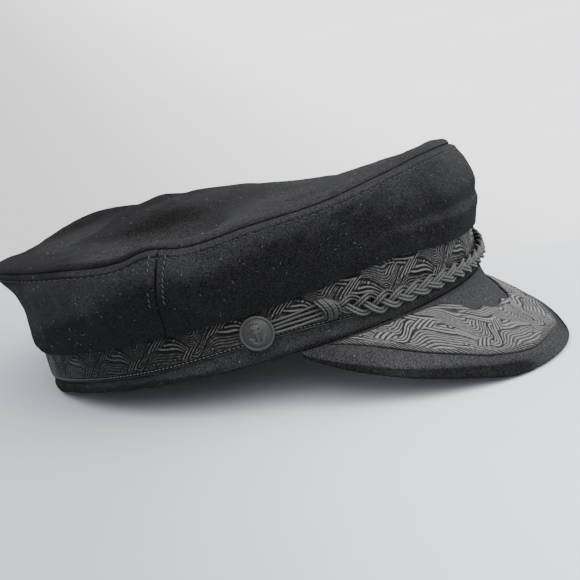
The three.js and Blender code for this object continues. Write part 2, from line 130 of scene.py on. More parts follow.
# The crown's side wall: for each angle the height of the lower fold and of the top seam, and
# how far the cloth stands out from the band at six levels between them.
SIDE_LEVELS = (0, 0.07, 0.26, 0.48, 0.71, 0.9, 1)
SIDE_COLUMNS = ("angle", "fold", "out1", "out2", "out3", "out4", "out5", "out6", "seam")
SIDE_TABLE = np.array([
    (-180, 18.6, 3.7, 3.6, 3.0, 4.4, 9.6, 11.0, 55.4),
    (-152, 18.8, 3.7, 3.2, 1.6, 3.6, 10.0, 11.4, 58.9),
    (-128, 19.2, 3.9, 4.8, 6.2, 8.8, 11.4, 11.8, 59.9),
    (-108, 20.0, 4.2, 7.2, 10.8, 12.8, 12.6, 11.0, 58.7),
    (-90, 20.8, 4.6, 8.4, 12.2, 13.6, 12.2, 10.2, 57.0),
    (-83, 21.0, 4.8, 8.6, 12.4, 13.4, 12.0, 10.2, 59.1),
    (-76, 21.2, 4.9, 9.0, 12.8, 13.6, 11.6, 9.8, 56.6),
    (-60, 22.0, 4.9, 8.2, 10.6, 11.8, 11.2, 9.4, 57.4),
    (-44, 24.0, 4.9, 7.2, 8.8, 10.0, 9.8, 8.2, 57.1),
    (-28, 24.6, 5.1, 7.0, 8.2, 8.4, 7.6, 5.8, 58.7),
    (-10, 20.6, 5.4, 7.0, 8.4, 7.0, 4.8, 2.9, 59.2),
    (10, 19.4, 5.6, 7.2, 8.4, 6.4, 4.0, 2.2, 57.0),
    (28, 21.6, 5.4, 7.4, 8.8, 7.9, 5.8, 4.0, 53.2),
    (44, 22.0, 5.0, 7.4, 9.6, 10.0, 9.0, 7.4, 48.6),
    (60, 21.6, 4.9, 7.8, 10.8, 12.0, 11.8, 10.4, 44.6),
    (80, 21.0, 4.9, 8.2, 11.4, 13.5, 13.9, 12.9, 39.8),
    (92, 20.8, 4.8, 8.0, 11.2, 13.6, 14.4, 13.4, 41.2),
    (108, 20.2, 4.4, 7.0, 10.0, 12.6, 14.4, 13.3, 46.2),
    (130, 19.4, 4.0, 5.4, 7.0, 9.4, 13.0, 12.4, 51.6),
    (154, 19.0, 3.7, 4.2, 4.8, 6.4, 11.0, 11.4, 59.6),
])

# Swells and dents: middle and half widths both ways, height, and how sharp the edge is. First
# the top's, across and along it, then the shallow sags of its slack cloth, then those of the
# side wall, by angle and level: a dent and a swell behind the near side seam, a roll in front.
TOP_TABLE = (
    (-4, 18, 34, 46, 9.0, 2), (12, 50, 24, 16, 4.0, 2), (-64, 8, 34, 34, -7.0, 4),
    (-48, -60, 16, 20, -4.2, 2.5), (62, -35, 38, 25, -8.0, 2), (62, 60, 30, 30, -3.0, 2),
)
TOP_SAGS = ((10, 46, 16, 14, -2.0, 1), (9, 3, 16, 12, -1.3, 1))
WALL_BUMPS = (
    (-91, 0.76, 4.5, 0.16, -1.7, 1), (-85.5, 0.86, 2.2, 0.1, 0.8, 1),
    (2, 0.24, 30, 0.07, 0.9, 1), (2, 0.38, 30, 0.08, -0.81, 1),
)

# Height of the ribbon's lower edge round one half of the band, from the front.
RIBBON_TABLE = np.array([
    (0, 4.8), (20, 5.4), (45, 6.8), (60, 8.6), (70, 8.0), (90, 6.1), (120, 5.5), (180, 4.8),
])

# Height of the middle of the plait from the front to the knot.
BRAID_TABLE = np.array([
    (0, 6.8), (10, 7.3), (20, 8.0), (30, 8.5), (37, 9.6), (42, 11.6), (46, 13.6), (48, 14.1),
])

# The ribbon on the peak, round the rim from corner to corner: its inner and outer edge as parts
# of the way from the band to the rim.
CREST_TABLE = np.array([
    (-78, 0.02, 0.05), (-68, 0.02, 0.3), (-58, 0.02, 0.52), (-50, 0.02, 0.65), (-42, 0.02, 0.72),
    (-34, 0.03, 0.77), (-26, 0.06, 0.79), (-19, 0.12, 0.82), (-12, 0.2, 0.84), (-4, 0.25, 0.83),
    (6, 0.28, 0.83), (16, 0.33, 0.84), (27, 0.38, 0.8), (38, 0.4, 0.75), (48, 0.34, 0.67),
    (58, 0.16, 0.52), (66, 0.05, 0.34), (78, 0.02, 0.05),
])


def smooth(low, high, value):
    """A smooth step: 3t^2 - 2t^3 of the clamped way t from low to high."""
    t = np.clip((value - low) / (high - low), 0, 1)
    return t * t * (3 - 2 * t)


def hump(value, centre, half):
    """A bell: e to the power of minus the squared distance from the centre in half widths."""
    return np.exp(-(((value - centre) / half) ** 2))


def bumps(a, b, table):
    """Swells and dents of a surface: the sum of the bells of a table, some with a steeper edge."""
    total = 0.0
    for middle_a, middle_b, half_a, half_b, height, edge in table:
        away = ((a - middle_a) / half_a) ** 2 + ((b - middle_b) / half_b) ** 2
        total = total + height * np.exp(-(away**edge))
    return total


def wave(turns):
    """A wave between 0 and 1, highest at whole numbers of turns."""
    return 0.5 + 0.5 * np.cos(2 * np.pi * turns)


def cubic(knots, values, at):
    """Cubic between knots; a knot's slope is the mean of both neighbours' rises, crosswise weighted."""
    knots = np.asarray(knots, float)
    values = np.asarray(values, float)
    widths = np.diff(knots)
    rises = np.diff(values) / widths
    inner = (rises[:-1] * widths[1:] + rises[1:] * widths[:-1]) / (widths[1:] + widths[:-1])
    slopes = np.concatenate([rises[:1], inner, rises[-1:]])
    i = np.clip(np.searchsorted(knots, at, side="right") - 1, 0, len(widths) - 1)
    t = np.clip((at - knots[i]) / widths[i], 0, 1)
    t2, t3 = t * t, t * t * t
    ends = (2 * t3 - 3 * t2 + 1) * values[i] + (3 * t2 - 2 * t3) * values[i + 1]
    return ends + widths[i] * ((t3 - 2 * t2 + t) * slopes[i] + (t3 - t2) * slopes[i + 1])


def column(table, number, at):
    """One column of a table, read between its rows by the values of its first column."""
    return cubic(table[:, 0], table[:, number], at)


def stops(ends, counts):
    """Numbers from end to end of a row of stretches, each cut into its count of equal steps."""
    parts = [np.linspace(a, b, n, endpoint=False) for a, b, n in zip(ends, ends[1:], counts)]
    return np.concatenate([*parts, ends[-1:]])


def all_round(count, shift=0.0):
    """Angles in degrees of places spread evenly round the cap, from the rear."""
    return (np.arange(count) + shift) / count * 360 - 180


def side_value(name, angle):
    """One column of the side table, read all the way round."""
    a = (np.asarray(angle, float) + 180) % 360 - 180
    angles = SIDE_TABLE[:, 0]
    values = SIDE_TABLE[:, SIDE_COLUMNS.index(name)]
    knots = np.concatenate([angles[-2:] - 360, angles, angles[:2] + 360])
    return cubic(knots, np.concatenate([values[-2:], values, values[:2]]), a)


def band_point(angle, out, z):
    """A point that stands out from the band's oval by a distance along its normal."""
    a = np.radians(angle)
    nx = np.sin(a) / HALF_WIDTH
    ny = -np.cos(a) / HALF_LENGTH
    n = np.hypot(nx, ny)
    x = HALF_WIDTH * np.sin(a) + out * nx / n
    y = -HALF_LENGTH * np.cos(a) + out * ny / n
    return np.stack(np.broadcast_arrays(x, y, z), -1)


def band_frame(angle):
    """Directions along the band, up and outwards at an angle on it."""
    outward = band_point(angle, 1.0, 0.0) - band_point(angle, 0.0, 0.0)
    up = np.zeros_like(outward)
    up[..., 2] = 1
    return np.cross(up, outward), up, outward


def table_height(y):
    """Height of the table under a point of the tipped cap, in the band's frame."""
    return -(HALF_LENGTH - y) * math.tan(TIP)


def above_table(points):
    """Lifts points that would sink into the table onto it."""
    lifted = points.copy()
    lifted[..., 2] = np.maximum(points[..., 2], table_height(points[..., 1]))
    return lifted


def settle(points):
    """Turns the cap about the rear foot of its band by the tip angle, and gives metres."""
    x, y, z = points[..., 0], points[..., 1], points[..., 2]
    c, s = math.cos(TIP), math.sin(TIP)
    ahead = HALF_LENGTH - y
    return np.stack([x, HALF_LENGTH - ahead * c + z * s + BOX_SHIFT, ahead * s + z * c], -1) * 0.001


def rest_sag(angle):
    """How far the lower edge of the back sags, so that it lies on the table."""
    y = -HALF_LENGTH * np.cos(np.radians(angle))
    return -table_height(y) * smooth(REST_FLAT_FADE, REST_FLAT_FROM, np.abs(angle))


def unit(vectors):
    """Vectors divided by their lengths."""
    return vectors / np.maximum(np.linalg.norm(vectors, axis=-1, keepdims=True), 1e-9)


def heading(loop):
    """Directions along a closed row of points, each from the point before to the point after."""
    return unit(np.roll(loop, -1, 0) - np.roll(loop, 1, 0))


def run_along(paths):
    """Distance run along each path, from 0 at its first point."""
    steps = np.linalg.norm(np.diff(paths, axis=-2), axis=-1)
    return np.concatenate([np.zeros((*steps.shape[:-1], 1)), np.cumsum(steps, -1)], -1)


def grid_cells(rows, columns, wrap_rows, wrap_columns):
    """Corner numbers of the cells of a grid, once wrapped for points and once unwrapped for UVs."""
    i, k = np.meshgrid(np.arange(rows if wrap_rows else rows - 1),
                       np.arange(columns if wrap_columns else columns - 1), indexing="ij")
    corners_i = np.stack([i, i + 1, i + 1, i], -1).reshape(-1, 4)
    corners_k = np.stack([k, k, k + 1, k + 1], -1).reshape(-1, 4)
    wide = columns + (1 if wrap_columns else 0)
    return (corners_i % rows) * columns + corners_k % columns, corners_i * wide + corners_k


# Painted light on the cloth, standing in for light from above and from the front: the start and
# the end of each fade in mm, and by how much. It fades in across, along and up the cap; the
# height at the wall counts more towards the rear.
PAINTED_LIGHT_TOP_UP = (52, 60)
PAINTED_LIGHT_TOP_ALONG = (-95, 55)
PAINTED_LIGHT_FOOT_UP = (14, 8)
PAINTED_LIGHT_FOOT_ALONG = (40, -30)
PAINTED_LIGHT_FRONT_ACROSS = (-14, 16)
PAINTED_LIGHT_FRONT_ALONG = (-60, -95)
PAINTED_LIGHT_REAR_ALONG = (-10, 60)
PAINTED_LIGHT_WALL_UP = (32, 46)
PAINTED_LIGHT_WALL_TILT = 0.1
PAINTED_LIGHT_ON_TOP = (0.6, -1.1)
PAINTED_LIGHT_ON_FOOT = 0.7
PAINTED_LIGHT_ON_FRONT = 1.1
PAINTED_LIGHT_ON_REAR = 0.9
PAINTED_LIGHT_ON_WALL = 0.25
PAINTED_LIGHT_ANYWHERE = -0.2


def painted_light(points, upward):
    """Painted light on the cloth: how much paler it is drawn, most where it faces up, high on the wall, in
    front and behind.
    """
    x, y, z = points.T
    on_top = smooth(*PAINTED_LIGHT_TOP_UP, z)
    foot = PAINTED_LIGHT_ON_FOOT * smooth(*PAINTED_LIGHT_FOOT_ALONG, y) * smooth(*PAINTED_LIGHT_FOOT_UP, z)
    front = PAINTED_LIGHT_ON_FRONT * smooth(*PAINTED_LIGHT_FRONT_ACROSS, x) * smooth(*PAINTED_LIGHT_FRONT_ALONG, y)
    rear = PAINTED_LIGHT_ON_REAR * smooth(*PAINTED_LIGHT_REAR_ALONG, y)
    wall = (PAINTED_LIGHT_ON_WALL + rear + front) * smooth(*PAINTED_LIGHT_WALL_UP, z + PAINTED_LIGHT_WALL_TILT * y)
    top = PAINTED_LIGHT_ON_TOP[0] + (PAINTED_LIGHT_ON_TOP[1] - PAINTED_LIGHT_ON_TOP[0]) * smooth(*PAINTED_LIGHT_TOP_ALONG, y)
    return upward + PAINTED_LIGHT_ANYWHERE + foot + wall * (1 - on_top) + top * on_top


def put(name, points, faces, finish, uv=None, uv_faces=None, marks=None):
    """Makes an object from points and faces, outward side out, with UVs in mm and point values.

    faces is a list of arrays of corner numbers. The signed volume, a sixth of the sum of each
    triangle's triple product, tells whether the faces have to be turned round.
    """
    points = points.reshape(-1, 3)
    place = settle(points)
    sizes = np.concatenate([np.full(len(f), f.shape[1]) for f in faces])
    fans = [f[:, [0, k, k + 1]] for f in faces for k in range(1, f.shape[1] - 1)]
    fans = place[np.concatenate(fans)]
    volume = np.einsum("ij,ij->i", fans[:, 0], np.cross(fans[:, 1], fans[:, 2])).sum()

    def corners(grids):
        return np.concatenate([(f[:, ::-1] if volume < 0 else f).ravel() for f in grids])

    mesh = bpy.data.meshes.new(name)
    mesh.vertices.add(len(place))
    mesh.vertices.foreach_set("co", place.ravel())
    mesh.loops.add(int(sizes.sum()))
    mesh.loops.foreach_set("vertex_index", corners(faces).astype(np.int32))
    mesh.polygons.add(len(sizes))
    mesh.polygons.foreach_set("loop_start", (np.cumsum(sizes) - sizes).astype(np.int32))
    mesh.polygons.foreach_set("use_smooth", np.ones(len(sizes), bool))
    mesh.update(calc_edges=True)
    if uv is not None:
        layer = mesh.uv_layers.new(name="cloth")
        layer.data.foreach_set("uv", uv.reshape(-1, 2)[corners(uv_faces)].ravel())
    normals = np.empty(len(place) * 3, np.float32)
    mesh.vertex_normals.foreach_get("vector", normals)
    # Every piece carries the painted light mark, from how it faces and where it lies.
    for mark, values in {"upward": painted_light(points, normals[2::3]), **(marks or {})}.items():
        kept = mesh.attributes.new(mark, "FLOAT", "POINT")
        kept.data.foreach_set("value", np.ascontiguousarray(values, np.float32).ravel())
    if mesh.validate():
        raise ValueError(f"{name}: the mesh had faces that Blender removed")
    piece = bpy.data.objects.new(name, mesh)
    bpy.context.scene.collection.objects.link(piece)
    mesh.materials.append(finish)
    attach(piece, "root")
    return piece


def shell(outer, inner):
    """Closed wall between two grids of points with the same rows and columns."""
    rows, columns = outer.shape[:2]
    cells, _ = grid_cells(rows, columns, False, False)
    size = rows * columns
    near = np.arange(columns)
    left = np.arange(rows) * columns
    edges = (near, (near + size - columns)[::-1], left[::-1], left + columns - 1)
    rims = [np.stack([e[:-1], e[1:], e[1:] + size, e[:-1] + size], -1) for e in edges]
    points = np.concatenate([outer.reshape(-1, 3), inner.reshape(-1, 3)])
    return points, [cells, cells[:, ::-1] + size, *rims]


def tubes(name, paths, sides, radius, around, finish):
    """Makes one piece of round cords with flat ends along many paths.

    Round each point of a path runs a circle, spanned by the side direction, made square to the
    path, and by the path's cross product with it. radius may vary along a path.
    """
    count, length = paths.shape[:2]
    ahead = unit(np.gradient(paths, axis=1))
    side = unit(sides - (sides * ahead).sum(-1, keepdims=True) * ahead)
    other = np.cross(ahead, side)
    turn = np.arange(around) / around * 2 * np.pi
    ring = np.cos(turn)[:, None] * side[:, :, None] + np.sin(turn)[:, None] * other[:, :, None]
    reach = np.broadcast_to(radius, (count, length))
    points = paths[:, :, None] + ring * reach[..., None, None]
    cells, flat = grid_cells(length, around, False, True)
    start = np.arange(count)[:, None] * length
    end = np.arange(around)
    first, last = start * around + end, (start + length - 1) * around + end
    wide = around + 1
    first_uv, last_uv = start * wide + end, (start + length - 1) * wide + end
    body = (cells + start[..., None] * around).reshape(-1, 4)
    body_uv = (flat + start[..., None] * wide).reshape(-1, 4)
    uv = np.stack(np.broadcast_arrays(run_along(paths)[:, :, None], np.linspace(0, 1, wide)), -1)
    uv_faces = [body_uv, first_uv[:, ::-1], last_uv]
    return put(name, points, [body, first[:, ::-1], last], finish, uv, uv_faces)


def rounding(distance, radius):
    """How far a rounded edge has dropped at a distance from it: a quarter circle."""
    d = np.clip(distance, 0, radius)
    return radius - np.sqrt(radius**2 - (radius - d) ** 2)


def drift(a, b, terms):
    """Soft unevenness: a sum of products of sines, each with its own wave numbers and shift."""
    return sum(size * np.sin(ka * a + pa) * np.sin(kb * b + pb) for size, ka, pa, kb, pb in terms)


def lattice(points, size, seed):
    """Smooth random unevenness, -1 to 1: values at the corners of cubes of that size, blended.

    A corner's value is the broken part of a large sine of its three whole numbers.
    """
    spot = points / size
    cell = np.floor(spot)
    way = spot - cell
    way = way * way * (3 - 2 * way)
    total = 0.0
    for corner in np.ndindex(2, 2, 2):
        chance = np.sin((cell + corner) @ np.array([12.9898, 78.233, 37.719]) + seed) * 43758.5453
        weight = np.where(corner, way, 1 - way).prod(-1)
        total = total + weight * ((chance - np.floor(chance)) * 2 - 1)
    return total


# Lumps of fulled wool, coarse and fine ones: height, size and seed.
COARSE_LUMPS = ((0.28, 15.0, 1), (0.13, 6.5, 2))
FINE_LUMPS = ((0.075, 3.1, 3), (0.05, 1.6, 4))


def felted(points, coarse=1.0):
    """How far fulled wool stands out, in mm: lumps of four sizes, the finest like matted fibres."""
    lumps = [(height * coarse, size, seed) for height, size, seed in COARSE_LUMPS]
    return sum(height * lattice(points, size, seed) for height, size, seed in (*lumps, *FINE_LUMPS))


def half_front(level):
    """Half the angle that the front panel spans at a level of the wall."""
    return SEAM_AT_FOLD + (SEAM_AT_TOP - SEAM_AT_FOLD) * level - SEAM_GAP / 2


def half_back(level):
    """Half the angle that the back panel spans at a level of the wall."""
    return 180 - half_front(level) - SEAM_GAP


def side_out(angle, level):
    """How far the side wall stands out: a cubic over the tucked fold and the table's six levels."""
    outs = [side_value(f"out{k}", angle) for k in range(1, 7)]
    outs = [outs[0] - FOLD_TUCK, *outs]
    weights = [cubic(SIDE_LEVELS, row, level) for row in np.eye(len(SIDE_LEVELS))]
    return sum(w * o for w, o in zip(weights, outs))


def side_height(angle, level):
    """Height of the side wall at a level between its fold and its seam."""
    fold = side_value("fold", angle)
    return fold + (side_value("seam", angle) - fold) * level


# Unevenness of the side wall: size, waves round the cap and up the wall with their shifts.
WALL_DRIFT = (
    (0.55, 0.09, 0.4, 3.1, 0.0), (0.4, 0.17, 1.9, 5.0, 0.6), (0.3, 0.31, 0.3, 6.3, 1.4),
    (0.16, 0.57, 2.2, 11.0, 0.2), (0.1, 1.1, 0.9, 17.0, 1.1),
)
STITCH_PITCH = 3.3
DEGREE = 1.72

# Lines along a seam: height, distance from the seam and half width. Those beside a side seam
# fade in between two levels of the wall.
SUNK_ROW = (-0.34, 3.2, 0.55)
PUFFED_ROW = (0.3, 1.7, 0.9)
SIDE_SUNK_ROW = (-0.3, 3.0, 0.5)
SIDE_PUFFED_ROW = (0.28, 1.5, 0.8)
SIDE_ROWS_FROM = (0.25, 0.4)
TOP_ROLL_ROW = (1.3, 6.5, 5.0)
TOP_PUCKER_ROW = (0.1, 1.8, 1.2)


def ridge(distance, row):
    """A raised or sunk line: its height times a bell at its distance, with its half width."""
    height, centre, half = row
    return height * hump(distance, centre, half)


def wall_relief(angle, level, below, from_seam):
    """What the cloth does on the side wall, in mm outwards.

    The row of stitches below the top seam is a sunk line, puckered at each stitch, and those
    beside a side seam are plain ones. The cloth between them and the seam is puffed, and further
    down it is softly uneven, with swells and dents.
    """
    pucker = 0.2 + 0.8 * wave(angle * DEGREE / STITCH_PITCH)
    rows = ridge(below, SUNK_ROW) * pucker + ridge(below, PUFFED_ROW)
    beside = ridge(from_seam, SIDE_SUNK_ROW) + ridge(from_seam, SIDE_PUFFED_ROW)
    beside = beside * smooth(*SIDE_ROWS_FROM, level)
    soft = drift(angle, level, WALL_DRIFT) * smooth(0, 0.1, level) * smooth(1.5, 9, below)
    return rows + beside + soft + bumps(angle, level, WALL_BUMPS)


def crown_panel(name, middle, half, columns, finish):
    """One side panel: u runs from side seam to side seam, level from the fold to the top seam.

    A point stands out from the band by side_out plus the relief. The panel's edges at the seams
    roll inwards on a quarter circle.
    """
    way = np.linspace(-1, 1, columns)
    u = np.sign(way) * (1 - (1 - np.abs(way)) ** COLUMNS_CROWD)
    u, level = np.meshgrid(u, stops((0, 0.1, 0.9, 1), (9, 61, 21)), indexing="ij")
    angle = middle + u * half(level)
    z = side_height(angle, level)
    below = side_value("seam", angle) - z
    from_seam = (1 - np.abs(u)) * half(level) * DEGREE
    out = side_out(angle, level) + wall_relief(angle, level, below, from_seam)
    edge = np.maximum(rounding(from_seam, SIDE_SEAM_ROLL), rounding(below, TOP_SEAM_ROLL) * 0.8)
    lumps = felted(band_point(angle, out, z)) * smooth(0, 1, np.minimum(below, from_seam))
    outer = band_point(angle, out - edge + lumps, z)
    wall = CLOTH * (0.6 + 0.4 * smooth(0, 0.05, level)) - 0.75 * edge
    raised = 0.5 * (1 - smooth(0, 0.06, level))
    inner = band_point(angle, out - edge - np.maximum(wall, THINNEST), z + raised)
    return put(name, *shell(outer, inner), finish)


def top_height(x, y, ratio, seam):
    """Height of the top cloth: a bowl on the square of the ratio, plus the swells and dents."""
    fade = 1 - hump(1 - ratio, 0, TOP_FADE)
    return TOP_CENTRE_Z + (seam - TOP_CENTRE_Z) * ratio**2 + fade * bumps(x, y, TOP_TABLE)


# Unevenness of the top in plan: size, waves across and along with their shifts.
TOP_DRIFT = (
    (0.7, 0.05, 0.6, 0.045, 0.2), (0.45, 0.09, 2.0, 0.08, 1.2), (0.25, 0.17, 0.4, 0.15, 0.5),
    (0.1, 0.4, 1.0, 0.37, 2.0),
)


def crown_top(finish):
    """The top panel: rings from the lower pole, round the rolled edge, to the upper pole."""
    around = 620
    coarse, fine = 89, 23
    ratio = stops((0.02, 0.94, 1), (coarse, fine))
    ratio, angle = np.meshgrid(ratio, all_round(around), indexing="ij")
    seam = side_value("seam", angle) + GAP
    edge = band_point(angle, side_value("out6", angle) - TOP_INSET, 0.0)
    x = edge[..., 0] * ratio
    y = TOP_CENTRE_Y + (edge[..., 1] - TOP_CENTRE_Y) * ratio
    inside = (1 - ratio) * np.hypot(edge[..., 0], edge[..., 1])
    low = top_height(x, y, ratio, seam)
    roll = ridge(inside, TOP_ROLL_ROW)
    pucker = wave(angle * DEGREE / STITCH_PITCH) * ridge(inside, TOP_PUCKER_ROW)
    soft = (drift(x, y, TOP_DRIFT) + bumps(x, y, TOP_SAGS)) * smooth(3, 14, inside)
    lumps = felted(np.stack([x, y, low], -1), 1.2) * smooth(0, 1.5, inside)
    over = CLOTH + roll + pucker + soft + lumps - 0.6 * rounding(inside, TOP_EDGE_ROLL)
    upper = np.stack([x, y, low + over], -1)
    lower = np.stack([x, y, low + soft + roll - 0.45 * hump(inside, 0, 2)], -1)
    kept = np.r_[0:coarse:4, coarse : coarse + fine + 1 : 2, coarse + fine]
    rings = np.concatenate([lower[kept], upper[::-1]])
    cells, _ = grid_cells(len(rings), around, False, True)
    body = rings.reshape(-1, 3)
    poles = np.array([lower[0].mean(0), upper[0].mean(0)])
    count = len(body)
    k = np.arange(around)
    after = (k + 1) % around
    start = count - around
    fan_low = np.stack([np.full(around, count), after, k], -1)
    fan_up = np.stack([np.full(around, count + 1), start + k, start + after], -1)
    points = np.concatenate([body, poles])
    return put("crown_top_cloth", points, [cells[:, ::-1], fan_low, fan_up], finish)


def ring_body(name, loops, finish, uv=None, marks=None):
    """Closed ring from loops of points: rows run round the cap, columns round the section."""
    cells, flat = grid_cells(*loops.shape[:2], True, True)
    return put(name, loops, [cells], finish, uv, [flat], marks)


# Swell of the band above its foot, as height, place and half width, and its unevenness.
FOOT_SWELL = (0.55, 2.6, 1.7)
BAND_DRIFT = ((0.18, 0.21, 0.2, 0.5, 0.6), (0.1, 0.63, 1.4, 0.9, 0.3))


def headband(finish):
    """The band: its section is a wall with a half round foot and a soft swell above the foot."""
    angle = all_round(560)[:, None]
    foot = np.linspace(-np.pi / 2, np.pi / 2, 13)
    radius = BAND_WALL / 2
    height = stops((BAND_HEIGHT, 9, radius), (7, 11))[:-1]
    back = np.linspace(radius, BAND_HEIGHT, 9)[1:]
    under = -radius - radius * np.sin(foot)
    out = np.concatenate([ridge(height, FOOT_SWELL), under, np.full(len(back), -BAND_WALL)])
    rise = np.concatenate([height, radius - radius * np.cos(foot), back])
    lowered = rest_sag(angle) * (1 - smooth(0, 12, rise))
    shown = len(height)
    shift = np.zeros((len(angle), len(rise)))
    shift[:, :shown] = drift(angle, height, BAND_DRIFT)
    shift[:, : shown + 1] += 0.8 * felted(band_point(angle, out, rise)[:, : shown + 1])
    loops = band_point(angle, out + shift, rise - lowered)
    return ring_body("headband_cloth", above_table(loops), finish)


# Figures of the ribbon in one repeat, as parts of the repeat and of the width: sprays of slanted
# leaves, with half their length and height in bold lines and their lean, and oval dots.
SPRAYS = ((0.2, 0.62, 2.8, 2.1, 1.2), (0.68, 0.26, 2.5, 1.5, 1.0), (0.9, 0.72, 1.9, 1.2, 1.1))
DOTS = ((0.49, 0.6, 0.38), (0.8, 0.44, 0.25), (0.04, 0.2, 0.3), (0.42, 0.2, 0.28))

# Pitch of the leaves in bold lines, and how far a leaf bends, in pitches of its own.
LEAF_PITCH = 1.1
LEAF_BEND = 1.4 / (2 * math.pi)


def groove(distance, half):
    """A soft sunk line, 0 in its middle and 1 beyond it."""
    return 1 - np.exp(-((distance / half) ** 4))


def from_figure(u, period, middle):
    """Distance along the ribbon from the nearest repeat of a figure."""
    return (u / period - middle + 0.5) % 1 * period - period / 2


def weave(u, w, width, period, rib, pitch, ground, narrow):
    """Raised threads of the patterned ribbon, 0 to 1, from mm along it and mm across it.

    rib is the pitch of the ribbed ground, ground its height; pitch is that of the bold lines,
    which a narrow above 1 slims.

    The ground is ribbed lengthwise, and its ribs sway with a garland, a bundle of three bold
    lines that waves along the middle; two more wave below the upper edge and break off. Sprays
    of slanted leaves lean over them, each cut short by an oval, with dots between. The bundles
    and dots lie in a sunk outline, as if engraved.
    """
    k = 2 * np.pi / period
    sway = 0.15 * width * (np.sin(k * u) + 0.35 * np.sin(2 * k * u + 1.0))
    inner = np.sin(np.pi * np.clip(w / width, 0, 1)) ** 0.7
    height = ground * (0.25 + 0.75 * wave((w - sway * inner) / rib))
    upper = width * (0.8 + 0.08 * np.sin(k * u + 2.6))
    swell = 1 + 0.25 * np.sin(k * u - 0.6)
    broken = smooth(-0.5, 0.1, np.sin(k * u + 0.8))
    for centre, count, strength in ((0.45 * width + sway * 1.2, 3, 1.0), (upper, 2, broken)):
        away = (w - centre) / (pitch * swell)
        inside = strength * smooth(count / 2 + 0.12, count / 2 - 0.05, np.abs(away))
        height = height * (1 - strength * (1 - groove(np.abs(away) - count / 2 - 0.1, 0.3)))
        height = height * (1 - inside) + wave(away - (count - 1) / 2) ** narrow * inside
    for middle, level, long, tall, lean in SPRAYS:
        across = w - level * width
        local = from_figure(u, period, middle) - lean * across
        reach = np.hypot(local / (long * pitch), across / (tall * pitch))
        leaf = local / (LEAF_PITCH * pitch)
        bend = LEAF_BEND * np.cos(1.5 * across / (tall * pitch))
        inside = smooth(1.02, 0.86, reach + 0.16 * np.cos(np.pi * leaf + 1.3))
        height = height * (1 - inside) + wave(leaf + bend) ** narrow * inside
    for middle, level, size in DOTS:
        away = np.hypot(from_figure(u, period, middle) / 1.4, w - level * width) / (size * pitch)
        height = height * smooth(1.2, 2.0, away) + np.exp(-(away**4))
    return np.clip(height, 0, 1)


def band_ribbon(finish):
    """The ribbon round the band: outer face raised by the pattern, flat inner face."""
    angle = all_round(1500)
    line = band_point(angle, RIBBON_BASE, 0.0)
    run = run_along(np.concatenate([line, line[:1]]))
    period = run[-1] / BAND_REPEATS
    low = column(RIBBON_TABLE, 1, np.abs(angle))[:, None]
    z = low + (RIBBON_TOP - low) * np.linspace(0, 1, 58)
    u = run[:-1, None]
    w = z - low
    raised = weave(u, w, width=20.0, period=period, rib=1.05, pitch=1.6, ground=0.75, narrow=1.1)
    hatch = smooth(17.6, 18.4, w - 0.7 * np.sin(4 * np.pi * u / period))
    raised = raised * (1 - hatch) + 0.8 * wave((u + 0.9 * w) / 2.2) * hatch
    foot = np.maximum(hump(w, 0.5, 0.3), 0.8 * hump(w, 2.4, 0.3))
    raised = np.maximum(raised * smooth(0.6, 3.0, w), 0.7 * foot)
    outer = band_point(angle[:, None], RIBBON_BASE + 0.55 * raised - rounding(w, 0.35), z)
    back = z[:, ::-1][:, ::19]
    inner = band_point(angle[:, None], RIBBON_BACK, back)
    wide = np.concatenate([z, back, z[:, :1]], 1)
    wide = np.concatenate([wide, wide[:1]])
    uv = np.stack(np.broadcast_arrays(run[:, None], wide), -1)
    # Painted highlight: the raised threads are drawn paler towards the front, where they catch the light.
    shine = 0.62 + 0.38 * smooth(110, 35, np.abs(angle[:, None]))
    marks = np.concatenate([raised * shine, np.zeros(back.shape)], 1)
    loops = np.concatenate([outer, inner], 1)
    return ring_body("band_ribbon_weave", loops, finish, uv, {"raised": marks})


def peak_point(turn, v):
    """The peak's upper face: turn runs round the rim from corner to corner, v from band to rim.

    A straight line is drawn from the band's foot to the rim, which stands level in the middle.
    It is bent by a hollow near the band, stronger on the far side, and a swell near the rim.
    """
    turn, v = np.broadcast_arrays(np.asarray(turn, float), np.asarray(v, float))
    a = np.radians(turn)
    cs = np.cos(a)
    width = HALF_WIDTH * math.sin(math.radians(PEAK_HALF_ANGLE))
    back = HALF_LENGTH * math.cos(math.radians(PEAK_HALF_ANGLE))
    root = band_point(turn * PEAK_HALF_ANGLE / 90, 0.0, -GAP)
    x = width * np.sin(a)
    y = -(back + (PEAK_REACH + HALF_LENGTH - back) * cs)
    free = -PEAK_DROP * np.abs(cs) ** RIM_POWER
    flat = 1 - smooth(RIM_FLAT_HALF * 0.8, RIM_FLAT_HALF * 1.8, np.abs(x))
    drop = PEAK_FAR_DROP * smooth(*PEAK_FAR_TURN, turn)
    z = free + (table_height(y) - free) * flat - GAP + (RIM_LIFT - drop) * cs
    rim = np.stack([x, y, z], -1)
    near = 1 - PEAK_TWIST * (1 - smooth(*PEAK_TWIST_TURN, turn))
    hollow = PEAK_HOLLOW * near * np.sin(np.pi * v) * (1 - v) ** PEAK_HOLLOW_FADE
    bend = (PEAK_SWELL * np.sin(np.pi * v**PEAK_SWELL_AT) - hollow) * cs
    return root + (rim - root) * v[..., None] + bend[..., None] * np.array(PEAK_BEND)


def peak_normal(turn, v):
    """Unit normal of the peak's upper face, from short steps on it both ways."""
    along = peak_point(turn + 0.5, v) - peak_point(turn - 0.5, v)
    middle = np.clip(v, 0.01, 0.99)
    down = peak_point(turn, middle + 0.01) - peak_point(turn, middle - 0.01)
    return unit(np.cross(down, along))


# Unevenness of the peak's cloth: size, waves round the rim and towards it with their shifts.
PEAK_DRIFT = ((0.14, 0.21, 0.4, 9.0, 0.2), (0.08, 0.47, 1.1, 17.0, 0.9))


